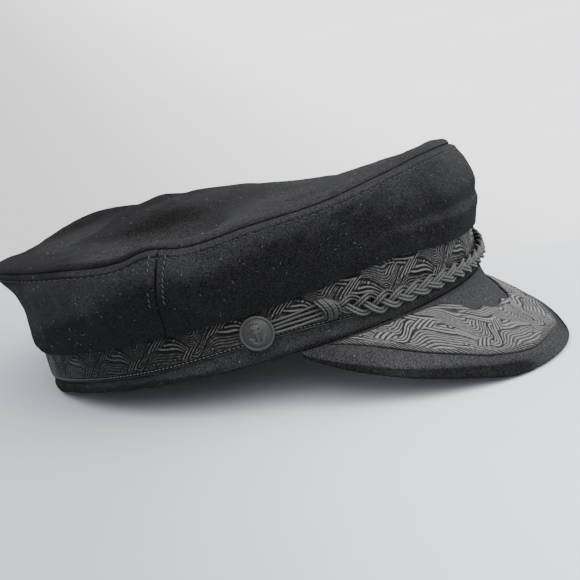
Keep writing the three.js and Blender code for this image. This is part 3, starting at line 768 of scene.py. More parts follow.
def peak(finish):
    """The cloth covered board: upper face, half round rim and lower face, closed at the corners."""
    turn = np.linspace(-PEAK_END, PEAK_END, 560)[:, None]
    radius = PEAK_WALL / 2
    step = 0.02
    span = np.linalg.norm(peak_point(turn, 1.0) - peak_point(turn, 1 - step), axis=-1) / step
    end = 1 - np.minimum(radius / np.maximum(span, 1e-3), 0.4)
    v = np.linspace(0, 1, 60) * end
    upper = peak_point(turn, v)
    normal = peak_normal(turn, v)
    middle = upper[:, -1:] - normal[:, -1:] * radius
    ahead = unit(peak_point(turn, end) - peak_point(turn, end - step))
    arc = np.linspace(0, np.pi, 16)[1:-1]
    rim = middle + radius * (np.cos(arc)[:, None] * normal[:, -1:] + np.sin(arc)[:, None] * ahead)
    lower = (upper - normal * PEAK_WALL)[:, ::-1]
    lumps = felted(upper, 0.6) * smooth(0, 0.05, v)
    uneven = drift(turn, v, PEAK_DRIFT) * np.sin(np.pi * v / end)
    upper = upper + normal * (uneven + lumps)[..., None]
    angle = turn * PEAK_HALF_ANGLE / 90
    tucked = band_point(angle, np.array([-2.2, -1.5, -0.8, -0.3]), -GAP)
    under = band_point(angle, np.array([-0.9, -1.4, -1.9, -2.2]), -GAP - np.array([2.4, 2.0, 1.4, 0.8]))
    loops = above_table(np.concatenate([tucked, upper, rim, lower, under], 1))
    rows, columns = loops.shape[:2]
    cells, _ = grid_cells(rows, columns, False, True)
    k = np.arange(columns // 2 - 1)
    cap = np.stack([k, k + 1, columns - 2 - k, columns - 1 - k], -1)
    # Painted light on the peak: paler over its face; painted shade where the rim rolls under away from the
    # middle, towards the corner on the -X side and round the rim, a middle tone where it tucks under the
    # band, and dark all over its lower face.
    side = smooth(5, 30, np.abs(turn))
    painted_light_and_wear = PEAK_PAINTED_LIGHT - 1.6 * smooth(0.84, 0.96, v / end) * side - 0.5 * smooth(60, 88, -turn)
    over_rim = PEAK_PAINTED_LIGHT - 1.1 * side - 0.8 * np.linspace(0, 1, len(arc))
    shaded = columns - tucked.shape[1] - v.shape[1] - len(arc)
    marks = [np.full((rows, tucked.shape[1]), 0.3), painted_light_and_wear, over_rim, np.full((rows, shaded), -1.0)]
    faces = [cells, cap[:, ::-1], cap + (rows - 1) * columns]
    return put("peak_cloth", loops, faces, finish, marks={"upward": np.concatenate(marks, 1)})


def crest_edges(turn):
    """Both edges of the ribbon on the peak; the inner one is scalloped where it leaves the band."""
    inner = column(CREST_TABLE, 1, turn)
    outer = column(CREST_TABLE, 2, turn)
    lobes = np.abs(np.sin(np.radians(turn) * 8.5 + 0.5)) - 0.6
    return inner + 0.055 * lobes * smooth(0.08, 0.2, inner), np.maximum(outer, inner + 0.01)


def peak_ribbon(finish):
    """The ribbon on the peak: rows from corner to corner, columns from its inner to its outer edge.

    Its upper face is raised by the pattern, its lower face lies on the peak, and a flat face
    closes each corner.
    """
    turn = np.linspace(-CREST_END, CREST_END, 880)[:, None]
    inner_edge, outer_edge = crest_edges(turn)
    v = inner_edge + (outer_edge - inner_edge) * np.linspace(0, 1, 84)
    flat = peak_point(turn, v)
    normal = peak_normal(turn, v)
    across = run_along(flat)
    from_rim = across[:, -1:] - across
    run = run_along(peak_point(turn[:, 0], 0.72))[:, None]
    raised = weave(run, from_rim, width=31.0, period=40.0, rib=1.45, pitch=1.9, ground=0.85, narrow=0.6)
    hatch = smooth(3.4, 2.4, from_rim - 0.8 * np.sin(run / 4.0)) * smooth(0.3, 0.6, from_rim)
    slant = wave((run + 1.1 * from_rim) / 2.1 + np.sin(run / 3.1) / (2 * np.pi))
    raised = (raised * (1 - hatch) + 0.7 * slant * hatch) * smooth(0, 1.2, across)
    raised = raised * smooth(0.2, 0.7, from_rim)
    lift = RIBBON_BASE + 0.6 * raised - rounding(np.minimum(from_rim, across), 0.3)
    upper = flat + normal * lift[..., None]
    back = np.s_[:, -1::-17]
    lower = (flat + normal * 0.1)[back]
    loops = np.concatenate([upper, lower], 1)
    rows, columns = loops.shape[:2]
    cells, wide = grid_cells(rows, columns, False, True)
    k = np.arange(columns)[None]
    ends = [k[:, ::-1], k + (rows - 1) * columns]
    wide_ends = [k[:, ::-1], k + (rows - 1) * (columns + 1)]
    place = np.concatenate([from_rim, from_rim[back], from_rim[:, :1]], 1)
    uv = np.stack(np.broadcast_arrays(run, place), -1)
    marks = {"raised": np.concatenate([raised, np.zeros(lower.shape[:2])], 1)}
    return put("peak_ribbon_weave", loops, [cells, *ends], finish, uv, [wide, *wide_ends], marks)


def plait_path(angle, strand, half_gap):
    """The middle line of one cord of the plait.

    A strand swings up and down on a sine and in and out at twice its pace, a third of a turn
    behind the next strand; its two cords lie side by side, square to its run. The plait is
    looser near its knots, and narrows into them.
    """
    loose = 1.9 * hump(np.abs(angle), 39, 8)
    crossings = (angle / BRAID_END + 1) / 2 * BRAID_CROSSINGS
    phase = crossings * np.pi + 0.22 * np.sin(angle / 5.3) + strand * 2 * np.pi / 3
    taper = 1 - 0.75 * smooth(BRAID_END - 3.5, BRAID_END, np.abs(angle))
    up = (BRAID_SWING + 0.7 * loose) * taper * np.sin(phase)
    out = BRAID_DEPTH * np.sin(2 * phase) * (1 + 0.2 * loose)
    rise = np.gradient(up, axis=-1) / (np.gradient(angle) * DEGREE)
    lean = np.hypot(1, rise)
    height = column(BRAID_TABLE, 1, np.abs(angle)) + up + half_gap / lean * taper
    beside = -half_gap * rise / lean
    return band_point(angle + beside / DEGREE, BRAID_OUT + out - 0.1, height)


def braid(finish, radius):
    """Three strands of two cords each, plaited over the peak from knot to knot."""
    angle = np.linspace(-BRAID_END, BRAID_END, 620)
    cords = [(strand, half_gap) for strand in range(3) for half_gap in (-0.95, 0.95)]
    paths = np.stack([plait_path(angle, strand, half_gap * radius) for strand, half_gap in cords])
    sides = np.broadcast_to(band_frame(angle)[2], paths.shape)
    return tubes("braid_cords", paths, sides, radius, 12, finish)


def knot(name, side, finish, radius):
    """The wound knot: two cords side by side wind round the run, bowed at the middle.

    A winding is an ellipse up and outwards whose place along the band grows with the turn.
    """
    turn = np.linspace(0, 2 * np.pi * KNOT_TURNS, 240)
    paths, sides = [], []
    for shift in (-radius, radius):
        way = (turn / turn[-1] - 0.5) * KNOT_LENGTH + shift
        up = (KNOT_TALL - 0.1 * way**2) * np.cos(turn)
        out = (KNOT_DEEP - 0.05 * way**2) * np.sin(turn)
        bow = 1.3 * np.cos(turn) ** 2 - 0.5 + 1.5 * np.cos(turn)
        angle = side * (KNOT_ANGLE + (way + bow) / DEGREE)
        paths.append(band_point(angle, BRAID_OUT + out - 0.3, KNOT_Z + up))
        _, up_way, outward = band_frame(angle)
        sides.append(up_way * np.cos(turn)[:, None] + outward * np.sin(turn)[:, None])
    return tubes(name, np.stack(paths), np.stack(sides), radius, 12, finish)


def strands(name, side, count, finish, radius):
    """The flat run of cords from the knot to the button, closer at the button, softly wavy."""
    t = np.linspace(0, 1, 90)
    angle = side * (STRANDS_FROM + (STRANDS_TO - STRANDS_FROM) * t)
    k = np.arange(count)[:, None]
    spread = (k / (count - 1) * 2 - 1) * (2.9 - 0.7 * t)
    z = KNOT_Z - 0.9 * t + spread + 0.12 * np.sin(9 * t + 2.1 * k)
    out = 1.0 + radius + 0.5 * (1 - t) ** 6 + 0.1 * np.sin(7 * t + k)
    paths = band_point(angle, out, z)
    sides = np.broadcast_to(band_frame(angle)[2], paths.shape)
    return tubes(name, paths, sides, radius, 12, finish)


def segment(x, y, ax, ay, bx, by):
    """Distance of points in a plane from a line between two ends."""
    dx, dy = bx - ax, by - ay
    t = np.clip(((x - ax) * dx + (y - ay) * dy) / (dx * dx + dy * dy), 0, 1)
    return np.hypot(x - ax - t * dx, y - ay - t * dy)


# Straight lines of the anchor: both ends and half the width of each. Then the crown's balls.
ANCHOR_SCALE = 1.16
ANCHOR_LINES = (
    (0, 0.9, 0, -3.4, 0.3), (-1.35, 0.75, 1.35, 0.75, 0.24), (-2.9, -1.2, -1.7, -1.9, 0.32),
    (2.9, -1.2, 1.7, -1.9, 0.32), (-1.15, 2.35, 1.15, 2.35, 0.3),
)
CROWN_BALLS = ((-1.05, 2.95), (0, 3.15), (1.05, 2.95))
CROWN_BALL = 0.46


def anchor_relief(x, y):
    """Raised anchor under a small crown, 0 to 1: soft edges at a set distance from its lines."""
    x, y = x / ANCHOR_SCALE, y / ANCHOR_SCALE
    lines = [segment(x, y, *ends) - half for *ends, half in ANCHOR_LINES]
    balls = [np.hypot(x - ball_x, y - ball_y) - CROWN_BALL for ball_x, ball_y in CROWN_BALLS]
    ring = np.abs(np.hypot(x, y - 1.45) - 0.42) - 0.16
    arc = np.abs(np.hypot(x, y + 1.1) - 2.5) - 0.32
    arms = np.maximum(arc, y + 1.4 + 0.25 * np.abs(x))
    return 1 - smooth(-0.1, 0.4, np.min([ring, arms, *lines, *balls], 0))


def button(name, side, finish):
    """Domed button: rings from the back of its shank, over the rim, to the top of the dome."""
    around = 220
    back = 0.9 - BUTTON_OUT
    foot = np.array([(0.05, back), (1.7, back), (1.75, back + 0.1), (1.8, -0.05), (2.0, 0), (6.6, 0)])
    bend = np.linspace(0, np.pi, 12)
    rim = np.stack([6.75 + 0.65 * np.sin(bend), 0.62 - 0.62 * np.cos(bend)], -1)
    lip = np.array([(6.35, 1.12), (6.2, 1.0), (6.05, 1.02)])
    r = np.linspace(DOME_RADIUS, 0.03, 62)
    dome = np.stack([r, 1.05 + 1.9 * (1 - (r / DOME_RADIUS) ** 2) ** 0.8], -1)
    profile = np.concatenate([foot, rim, lip, dome])
    turn = np.arange(around) / around * 2 * np.pi
    x = profile[:, :1] * np.cos(turn)
    y = profile[:, :1] * np.sin(turn)
    on_dome = (np.arange(len(profile)) >= len(profile) - len(r))[:, None]
    raised = anchor_relief(x, y) * on_dome * smooth(5.9, 5.4, np.hypot(x, y))
    along, up, outward = band_frame(np.float64(side * BUTTON_ANGLE))
    centre = band_point(side * BUTTON_ANGLE, BUTTON_OUT, BUTTON_Z)
    height = profile[:, 1:] + 0.5 * raised
    rings = centre + x[..., None] * along + y[..., None] * up + height[..., None] * outward
    cells, _ = grid_cells(len(profile), around, False, True)
    first = np.arange(around)[None]
    last = first[:, ::-1] + (len(profile) - 1) * around
    # The rim is marked like the relief, so that it is drawn paler: a painted highlight.
    marks = {"raised": np.maximum(raised, hump(profile[:, :1], 6.9, 0.5))}
    return put(name, rings, [cells[:, ::-1], first, last], finish, marks=marks)


def dashes(name, centres, along, outward, length, radius, finish):
    """Stitches: short cords that rise from the cloth and sink into it at both ends."""
    t = np.linspace(-1, 1, 7)
    lift = radius * (1.1 * (1 - t**4) - 0.9)
    paths = centres[:, None] + along[:, None] * t[:, None] * length / 2 + outward[:, None] * lift[:, None]
    sides = np.broadcast_to(outward[:, None], paths.shape)
    return tubes(name, paths, sides, radius * (1 - 0.75 * t**6), 6, finish)


def wall_spot(angle, level, lift):
    """A place on the outer face of the side wall, raised by a little, with its three directions."""
    place = band_point(angle, side_out(angle, level) + lift, side_height(angle, level))
    lower = level - 0.02
    up = unit(place - band_point(angle, side_out(angle, lower), side_height(angle, lower)))
    along = unit(np.cross(up, band_frame(angle)[2]))
    return place, along, up, np.cross(along, up)


def top_stitches(finish):
    """One row of stitches round the side panels, a little below the top seam."""
    angle = all_round(int(360 * DEGREE / STITCH_PITCH), 0.5)
    height = side_value("seam", angle) - side_value("fold", angle)
    place, _, up, _ = wall_spot(angle, 1 - SUNK_ROW[1] / height, 0.0)
    ahead = heading(place)
    return dashes("top_stitches", place, ahead, unit(np.cross(ahead, up)), 2.1, 0.2, finish)


def seam_stitches(finish):
    """Two rows of stitches beside each side seam, from the top seam to half way down."""
    level = np.linspace(0.93, 0.42, 9)
    beside = SIDE_SUNK_ROW[1] / DEGREE
    angles = [side * half_front(level) + shift for side in (-1, 1) for shift in (-beside, beside)]
    place, _, up, outward = wall_spot(np.concatenate(angles), np.tile(level, len(angles)), 0.06)
    return dashes("seam_stitches", place, up, outward, 2.0, 0.21, finish)


def ribbon_stitches(finish):
    """The light row of stitches along the lower edge of the band's ribbon."""
    angle = all_round(330, 0.5)
    place = band_point(angle, 0.98, column(RIBBON_TABLE, 1, np.abs(angle)) + 1.5)
    return dashes("ribbon_stitches", place, heading(place), band_frame(angle)[2], 1.3, 0.16, finish)


def lint(count, finish):
    """Fine loose fibres on the wool: short curved hairs strewn over the wall and the top."""
    rng = np.random.default_rng(7)
    third = count // 3
    angle = rng.uniform(-180, 180, third * 2)
    level = rng.uniform(0.08, 0.95, third * 2)
    wall, along, _, outward = wall_spot(angle, level, 0.0)
    ratio = np.sqrt(rng.uniform(0.0, 0.9, third))
    turn = rng.uniform(-180, 180, third)
    edge = band_point(turn, side_value("out6", turn), 0.0)
    x = edge[:, 0] * ratio
    y = TOP_CENTRE_Y + (edge[:, 1] - TOP_CENTRE_Y) * ratio
    top = np.stack([x, y, top_height(x, y, ratio, side_value("seam", turn) + GAP) + CLOTH], -1)
    centres = np.concatenate([wall, top])
    first = np.concatenate([along, np.tile([1.0, 0, 0], (third, 1))])
    normal = np.concatenate([outward, np.tile([0, 0, 1.0], (third, 1))])
    second = np.cross(normal, first)
    lean = rng.uniform(0, 2 * np.pi, len(centres))
    curl = rng.uniform(-1.2, 1.2, len(centres))
    length = 0.25 + 1.3 * rng.uniform(0, 1, len(centres)) ** 3
    t = np.linspace(-1, 1, 6)
    bend = lean[:, None] + curl[:, None] * t
    run = np.cumsum(np.cos(bend), 1)[..., None] * first[:, None]
    rise = np.cumsum(np.sin(bend), 1)[..., None] * second[:, None]
    paths = centres[:, None] + length[:, None, None] / 5 * (run + rise)
    paths = paths + normal[:, None] * (0.75 + 0.15 * t[:, None] ** 2)
    return tubes("lint_fibres", paths, np.broadcast_to(normal[:, None], paths.shape), 0.055, 4, finish)


class Field:
    """A value socket of a shader; arithmetic on it adds Math nodes."""

    def __init__(self, tree, socket):
        self.tree = tree
        self.socket = socket

    def math(self, operation, *values):
        node = self.tree.nodes.new("ShaderNodeMath")
        node.operation = operation
        for entry, value in zip(node.inputs, values):
            if isinstance(value, Field):
                self.tree.links.new(value.socket, entry)
            else:
                entry.default_value = value
        return Field(self.tree, node.outputs[0])

    def __add__(self, other):
        return self.math("ADD", self, other)

    def __sub__(self, other):
        return self.math("SUBTRACT", self, other)

    def __rsub__(self, other):
        return self.math("SUBTRACT", other, self)

    def __mul__(self, other):
        return self.math("MULTIPLY", self, other)

    def __pow__(self, other):
        return self.math("POWER", self, other)

    def also(self, output):
        """Another output of the same node."""
        return Field(self.tree, self.socket.node.outputs[output])

    def ripple(self):
        """A sine between 0 and 1."""
        return self.math("SINE", self) * 0.5 + 0.5

    def most(self, other):
        return self.math("MAXIMUM", self, other)


class Shade:
    """One material: its shader, and short ways to add the nodes that feed it."""

    def __init__(self, name, **constants):
        self.material = bpy.data.materials.new(name)
        self.material.use_nodes = True
        self.tree = self.material.node_tree
        self.surface = self.tree.nodes["Principled BSDF"]
        for entry, value in constants.items():
            self.surface.inputs[entry.replace("_", " ")].default_value = value

    def node(self, kind, output, inputs, **settings):
        """Adds a node with its settings and the values or links of its sockets; gives one output."""
        node = self.tree.nodes.new(kind)
        for key, value in settings.items():
            setattr(node, key, value)
        for key, value in inputs.items():
            if isinstance(value, Field):
                self.tree.links.new(value.socket, node.inputs[key])
            else:
                node.inputs[key].default_value = value
        return Field(self.tree, node.outputs[output])

    def place(self, kind="Object", scale=(1, 1, 1), turn=(0, 0, 0)):
        """Coordinates on the piece, stretched and turned."""
        sockets = {"Vector": self.node("ShaderNodeTexCoord", kind, {}), "Scale": scale, "Rotation": turn}
        return self.node("ShaderNodeMapping", "Vector", sockets)

    def plane(self, kind):
        """The first two coordinates on the piece."""
        x = self.node("ShaderNodeSeparateXYZ", "X", {"Vector": self.place(kind)})
        return x, x.also("Y")

    def noise(self, place, scale, detail, rough, bend=0.0):
        sockets = {"Vector": place, "Scale": scale, "Detail": detail, "Roughness": rough}
        return self.node("ShaderNodeTexNoise", "Fac", {**sockets, "Distortion": bend})

    def spots(self, place, scale):
        """Distance from the nearest of scattered points, and a chance for each of them."""
        away = self.node("ShaderNodeTexVoronoi", "Distance", {"Vector": place, "Scale": scale})
        return away, self.node("ShaderNodeSeparateColor", "Red", {"Color": away.also("Color")})

    def step(self, value, low, high, start=0.0, end=1.0):
        sockets = {"Value": value, "From Min": low, "From Max": high, "To Min": start, "To Max": end}
        return self.node("ShaderNodeMapRange", "Result", sockets, interpolation_type="SMOOTHSTEP")

    def mark(self, name):
        return self.node("ShaderNodeAttribute", "Fac", {}, attribute_name=name)

    def mix(self, factor, first, second):
        """A colour between two; either may be a colour or the result of another mix."""
        sockets = {"Factor": factor, 6: first, 7: second}
        return self.node("ShaderNodeMix", 2, sockets, data_type="RGBA")

    def bump(self, height, distance, strength, **normal):
        sockets = {"Height": height, "Distance": distance, "Strength": strength, **normal}
        return self.node("ShaderNodeBump", "Normal", sockets)

    def feed(self, **values):
        """Links fields to the shader's sockets."""
        for entry, value in values.items():
            self.tree.links.new(value.socket, self.surface.inputs[entry.replace("_", " ")])
        return self.material


def shades(colour, dark, light):
    """Two opaque colours, a darker and a lighter one, from a base colour."""
    return (*[c * dark for c in colour], 1), (*[c * light for c in colour], 1)


# Colours of the fibres in the wool and on it, and how much paler than the wool's thread the
# threads of the ribbon and of the side seams are.
FIBRE_COLOUR = (0.16, 0.165, 0.17, 1)
LINT_COLOUR = (0.13, 0.135, 0.14)
PALE_THREAD = 5
DULL_THREAD = 2.4


def wool_finish(name, colour, lit_gain):
    """Fulled wool: matted short fibres, speckled, with painted light: paler where it faces up."""
    sheen = {"Sheen_Weight": 0.015, "Sheen_Roughness": 0.45, "Sheen_Tint": (0.95, 0.96, 1.0, 1)}
    shade = Shade(name, Specular_IOR_Level=0.02, **sheen)
    place = shade.place()
    grain = shade.noise(place, 1550, 2, 0.6)
    clump = shade.noise(place, 520, 3, 0.6)
    mottle = shade.noise(place, 34, 5, 0.6)
    lengthwise = shade.place("Object", (350, 1900, 1100), (0.3, 0.5, 0.7))
    crosswise = shade.place("Object", (1900, 350, 1100), (0.9, 0.2, 2.3))
    felt = shade.noise(lengthwise, 1.0, 3, 0.6, 1.0).most(shade.noise(crosswise, 1.0, 3, 0.6, 1.0))
    away, chance = shade.spots(place, 480)
    speck = (1 - shade.step(away, 0.08, 0.24)) * shade.step(chance, 0.955, 0.97)
    upward = shade.mark("upward")
    salt = shade.step(grain * 0.7 + clump * 0.1 + felt * 0.3, 0.42, 0.72)
    # Painted light: the paler tone stands in for light on what faces up, the darker one for shade.
    unlit_tone = shade.mix(salt, *shades(colour, 0.4, 1.75))
    pale = shade.mix(salt, *shades(colour, 0.5 * lit_gain, 1.55 * lit_gain))
    lit_share = shade.step(upward, -0.3, 0.45, 0.0, 0.65) + shade.step(upward, 0.55, 1.1, 0.0, 0.35)
    base = shade.mix(lit_share + (mottle - 0.5) * 1.3, unlit_tone, pale)
    base = shade.mix(speck * 0.45, base, FIBRE_COLOUR)
    rough = shade.step(felt, 0.3, 0.8, 0.88, 0.98)
    normal = shade.bump(grain + felt * 0.6 + clump * 0.6, 0.0007, 1.0)
    return shade.feed(Base_Color=base, Roughness=rough, Normal=normal)


def ribbon_finish(name, colour, dark, light, rib_pitch, depth, gloss):
    """Patterned satin ribbon: fine ribs on a darker ground, glossier raised threads drawn paler as a
    painted highlight.
    """
    shade = Shade(name, Sheen_Weight=0.02, Sheen_Roughness=0.3, Specular_IOR_Level=gloss)
    raised = shade.mark("raised")
    along, across = shade.plane("UV")
    ribs = (across * (2 * math.pi / rib_pitch)).ripple()
    threads = (along * (2 * math.pi / 0.6) + across * 2.0).ripple()
    uneven = shade.noise(shade.place("UV"), 0.5, 4, 0.6)
    fuzz = shade.noise(shade.place(), 1500, 3, 0.6)
    level = shade.step(raised * 0.9 + ribs * 0.1 + (uneven + fuzz - 1.0) * 0.5, 0.05, 1.0) ** depth
    base = shade.mix(level, *shades(colour, dark, light))
    rough = shade.step(raised + uneven * 0.4, 0.1, 1.2, 0.55, 0.33)
    fine = shade.bump(ribs * (1 - raised) + threads * raised * 0.8, 0.00015, 0.8)
    normal = shade.bump(fuzz, 0.00012, 0.5, Normal=fine)
    return shade.feed(Base_Color=base, Roughness=rough, Normal=normal)


def cord_finish(colour):
    """Satin cord: fine yarns twisted round it, with painted light: lighter where it faces up."""
    shade = Shade("satin_cord", Sheen_Weight=0.03, Sheen_Roughness=0.3, Specular_IOR_Level=0.3)
    along, around = shade.plane("UV")
    lay = (along * (2 * math.pi / 1.5) + around * (2 * math.pi * 2)).ripple()
    yarn = (along * (2 * math.pi / 0.4) - around * (2 * math.pi * 4)).ripple()
    uneven = shade.noise(shade.place(), 260, 4, 0.6)
    lit = shade.step(shade.mark("upward"), -0.7, 0.6)
    level = shade.step(lay * 0.3 + uneven * 0.5 + lit * 0.7, 0.4, 1.3)
    base = shade.mix(level, *shades(colour, 0.05, 1.75))
    rough = shade.step(uneven, 0.3, 0.7, 0.36, 0.52)
    normal = shade.bump(lay + yarn * 0.5, 0.00009, 0.8)
    return shade.feed(Base_Color=base, Roughness=rough, Normal=normal)


def button_finish(colour):
    """Matt dark metal, a little paler and smoother where rubbed on the relief, and paler on the rim as a
    painted highlight.
    """
    shade = Shade("dark_button", Specular_IOR_Level=0.4)
    place = shade.place()
    painted_light_and_wear = shade.step(shade.mark("raised") * 0.8 + shade.noise(place, 350, 5, 0.65) * 0.6, 0.35, 1.25)
    base = shade.mix(painted_light_and_wear, *shades(colour, 0.22, 0.8))
    rough = shade.step(painted_light_and_wear, 0.0, 1.0, 0.55, 0.4)
    normal = shade.bump(shade.noise(place, 2600, 3, 0.6), 0.00006, 0.6)
    return shade.feed(Base_Color=base, Roughness=rough, Metallic=painted_light_and_wear * 0.3, Normal=normal)


def thread_finish(name, colour):
    """Sewing thread: two twisted plies."""
    shade = Shade(name, Specular_IOR_Level=0.4)
    along, around = shade.plane("UV")
    ply = (along * (2 * math.pi / 0.5) + around * (4 * math.pi)).ripple()
    base = shade.mix(ply, *shades(colour, 0.7, 1.4))
    rough = shade.step(ply, 0.0, 1.0, 0.7, 0.55)
    return shade.feed(Base_Color=base, Roughness=rough, Normal=shade.bump(ply, 0.00008, 0.7))


# The line where the ground changes its tone, as two pixels of the picture, and half the width
# of the change in metres.
GROUND_LINE = ((0, 291), (580, 240))
GROUND_BLUR = 0.0015
FLOOR_HALF = 6.0
PICTURE = 580
FOCAL_PIXELS = 1875.0
CAMERA_AZIMUTH = math.radians(-62.55)
CAMERA_HEIGHT = math.radians(14.59)
CAMERA_ROLL = math.radians(-9.0)
CAMERA_DISTANCE = 0.85
CAMERA_TARGET = Vector((0.0, -0.0065, 0.0313))
SOFTBOX_WIDTH = math.radians(60)


def camera_axes():
    """Directions to the picture's right, up and back to the viewer, and the viewpoint."""
    a, e, r = CAMERA_AZIMUTH, CAMERA_HEIGHT, CAMERA_ROLL
    back = Vector((math.sin(a) * math.cos(e), -math.cos(a) * math.cos(e), math.sin(e)))
    level = (-back).cross(Vector((0, 0, 1))).normalized()
    upright = level.cross(-back)
    right = math.cos(r) * level + math.sin(r) * upright
    up = -math.sin(r) * level + math.cos(r) * upright
    return right, up, back, CAMERA_TARGET + CAMERA_DISTANCE * back


def ground_spot(pixel):
    """Where the line of sight through a pixel meets the floor."""
    right, up, back, eye = camera_axes()
    x, y = ((p - PICTURE / 2) / FOCAL_PIXELS for p in pixel)
    way = x * right - y * up - back
    return eye - way * (eye.z / way.z)


def floor_finish(colour, behind):
    """Pale painted board, faintly mottled and scuffed, another tone beyond the ground line, with painted
    light brighter towards the right.
    """
    shade = Shade("pale_floor", Specular_IOR_Level=0.2)
    a, b = (ground_spot(p) for p in GROUND_LINE)
    run = (b - a).normalized()
    x, y = shade.plane("Object")
    beyond = x * -run.y + y * run.x - (a.y * run.x - a.x * run.y)
    along = x * run.x + y * run.y - (a.x * run.x + a.y * run.y)
    # Painted light: both tones grow brighter along the slant, as light falling off across the floor.
    slant = along + beyond * 0.5
    near = shade.mix(shade.step(slant, -0.02, 0.21), *shades(colour, 0.66, 1.22))
    far = shade.mix(shade.step(slant, 0.02, 0.44), *shades(behind, 0.6, 1.3))
    base = shade.mix(shade.step(beyond, -GROUND_BLUR, GROUND_BLUR), near, far)
    cloud = shade.noise(shade.place(), 7, 4, 0.55)
    scuff = shade.noise(shade.place("Object", (60, 9, 1), (0, 0, 0.9)), 1.0, 5, 0.6)
    stain = shade.step(cloud * 0.7 + scuff * 0.3, 0.35, 0.65, 0.0, 0.07)
    base = shade.mix(stain, base, (0.42, 0.45, 0.47, 1))
    return shade.feed(Base_Color=base, Roughness=shade.step(scuff, 0.3, 0.7, 0.75, 0.9))


class CapSizes(bpy.types.PropertyGroup):
    """Sizes that can be changed without drawing anything anew."""

    cord_radius: bpy.props.FloatProperty(
        name="Cord radius", description="Radius of one cord of the plait, in millimetres",
        default=0.72, min=0.3, max=0.9)
    strand_count: bpy.props.IntProperty(
        name="Strands", description="Cords side by side between knot and button",
        default=4, min=3, max=7)
    lint_count: bpy.props.IntProperty(
        name="Lint", description="Number of loose fibres on the wool", default=600, min=0, max=3000)


class CapColours(bpy.types.PropertyGroup):
    """Colours of the materials and of the floor."""

    wool: bpy.props.FloatVectorProperty(
        name="Wool", description="Black wool cloth", subtype="COLOR",
        default=(0.0082, 0.0081, 0.0083))
    ribbon: bpy.props.FloatVectorProperty(
        name="Ribbon", description="Patterned ribbon", subtype="COLOR",
        default=(0.0194, 0.0188, 0.0187))
    cord: bpy.props.FloatVectorProperty(
        name="Cord", description="Plaited satin cord", subtype="COLOR",
        default=(0.025, 0.0255, 0.0235))
    button: bpy.props.FloatVectorProperty(
        name="Button", description="Side buttons", subtype="COLOR",
        default=(0.035, 0.034, 0.0325))
    thread: bpy.props.FloatVectorProperty(
        name="Thread", description="Sewing thread on the wool", subtype="COLOR",
        default=(0.015, 0.0155, 0.0165))
    floor: bpy.props.FloatVectorProperty(
        name="Floor", description="Floor near the viewer", subtype="COLOR",
        default=(0.6, 0.632, 0.66))
    behind: bpy.props.FloatVectorProperty(
        name="Ground behind", description="Floor beyond the line", subtype="COLOR",
        default=(0.72, 0.716, 0.708))


class CAP_OT_wool(bpy.types.Operator):
    """Make the wool pieces: top, side panels, headband and peak"""

    bl_idname = "cap.wool"
    bl_label = "Wool pieces"

    def execute(self, context):
        colour = context.scene.cap_colours.wool
        finish = wool_finish("black_wool", colour, 3.2)
        # The peak's wool is a lit copy of the same wool, with a brighter painted light tone.
        board = wool_finish("lit_board_wool", colour, 4.4)
        made = {
            "crown_top": crown_top(finish),
            "crown_front": crown_panel("crown_front_cloth", 0, half_front, 500, finish),
            "crown_back": crown_panel("crown_back_cloth", 180, half_back, 500, finish),
            "headband": headband(finish),
            "peak": peak(board),
        }
        for node, piece in made.items():
            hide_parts(node)
        return {"FINISHED"}


class CAP_OT_ribbons(bpy.types.Operator):
    """Make the patterned ribbons on the band and on the peak"""

    bl_idname = "cap.ribbons"
    bl_label = "Ribbons"

    def execute(self, context):
        colour = context.scene.cap_colours.ribbon
        # Lit and shaded copies of one ribbon: the peak's, which faces up, is drawn paler as a painted
        # reflection, the band's darker as painted shade under the crown.
        fine = {"dark": 0.03, "light": 5.4, "rib_pitch": 0.85, "depth": 1.8, "gloss": 0.1}
        bold = {"dark": 0.05, "light": 7.8, "rib_pitch": 0.95, "depth": 1.35, "gloss": 0.2}
        made = {
            "band_ribbon": band_ribbon(ribbon_finish("band_ribbon", colour, **fine)),
            "peak_ribbon": peak_ribbon(ribbon_finish("peak_ribbon", colour, **bold)),
        }
        for node, piece in made.items():
            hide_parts(node)
        return {"FINISHED"}


class CAP_OT_cords(bpy.types.Operator):
    """Make the plait, its two knots and the flat runs of cord to the buttons"""

    bl_idname = "cap.cords"
    bl_label = "Cords"

    def execute(self, context):
        sizes = context.scene.cap_sizes
        radius = sizes.cord_radius
        finish = cord_finish(context.scene.cap_colours.cord)
        made = {"braid": braid(finish, radius)}
        for word, side in SIDES:
            made[f"knot_{word}"] = knot(f"knot_{word}_cords", side, finish, radius)
            run = strands(f"strands_{word}_cords", side, sizes.strand_count, finish, radius * STRAND_SHARE)
            made[f"strands_{word}"] = run
        for node, piece in made.items():
            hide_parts(node)
        return {"FINISHED"}


class CAP_OT_buttons(bpy.types.Operator):
    """Make both side buttons with their raised anchors"""

    bl_idname = "cap.buttons"
    bl_label = "Buttons"

    def execute(self, context):
        finish = button_finish(context.scene.cap_colours.button)
        for word, side in SIDES:
            piece = button(f"button_{word}_relief", side, finish)
            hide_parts(f"button_{word}")
        return {"FINISHED"}


class CAP_OT_sewing(bpy.types.Operator):
    """Make the stitches and the loose fibres on the cloth"""

    bl_idname = "cap.sewing"
    bl_label = "Stitches and lint"

    def execute(self, context):
        colours = context.scene.cap_colours
        thread = thread_finish("sewing_thread", colours.thread)
        pale = thread_finish("pale_thread", [c * PALE_THREAD for c in colours.thread])
        dull = thread_finish("dull_thread", [c * DULL_THREAD for c in colours.thread])
        fibre = thread_finish("lint_fibre", LINT_COLOUR)
        for piece, slot in (
            (top_stitches(thread), "wool"),
            (seam_stitches(dull), "wool"),
            (ribbon_stitches(pale), "ribbon"),
            (lint(context.scene.cap_sizes.lint_count, fibre), "wool"),
        ):
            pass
        return {"FINISHED"}


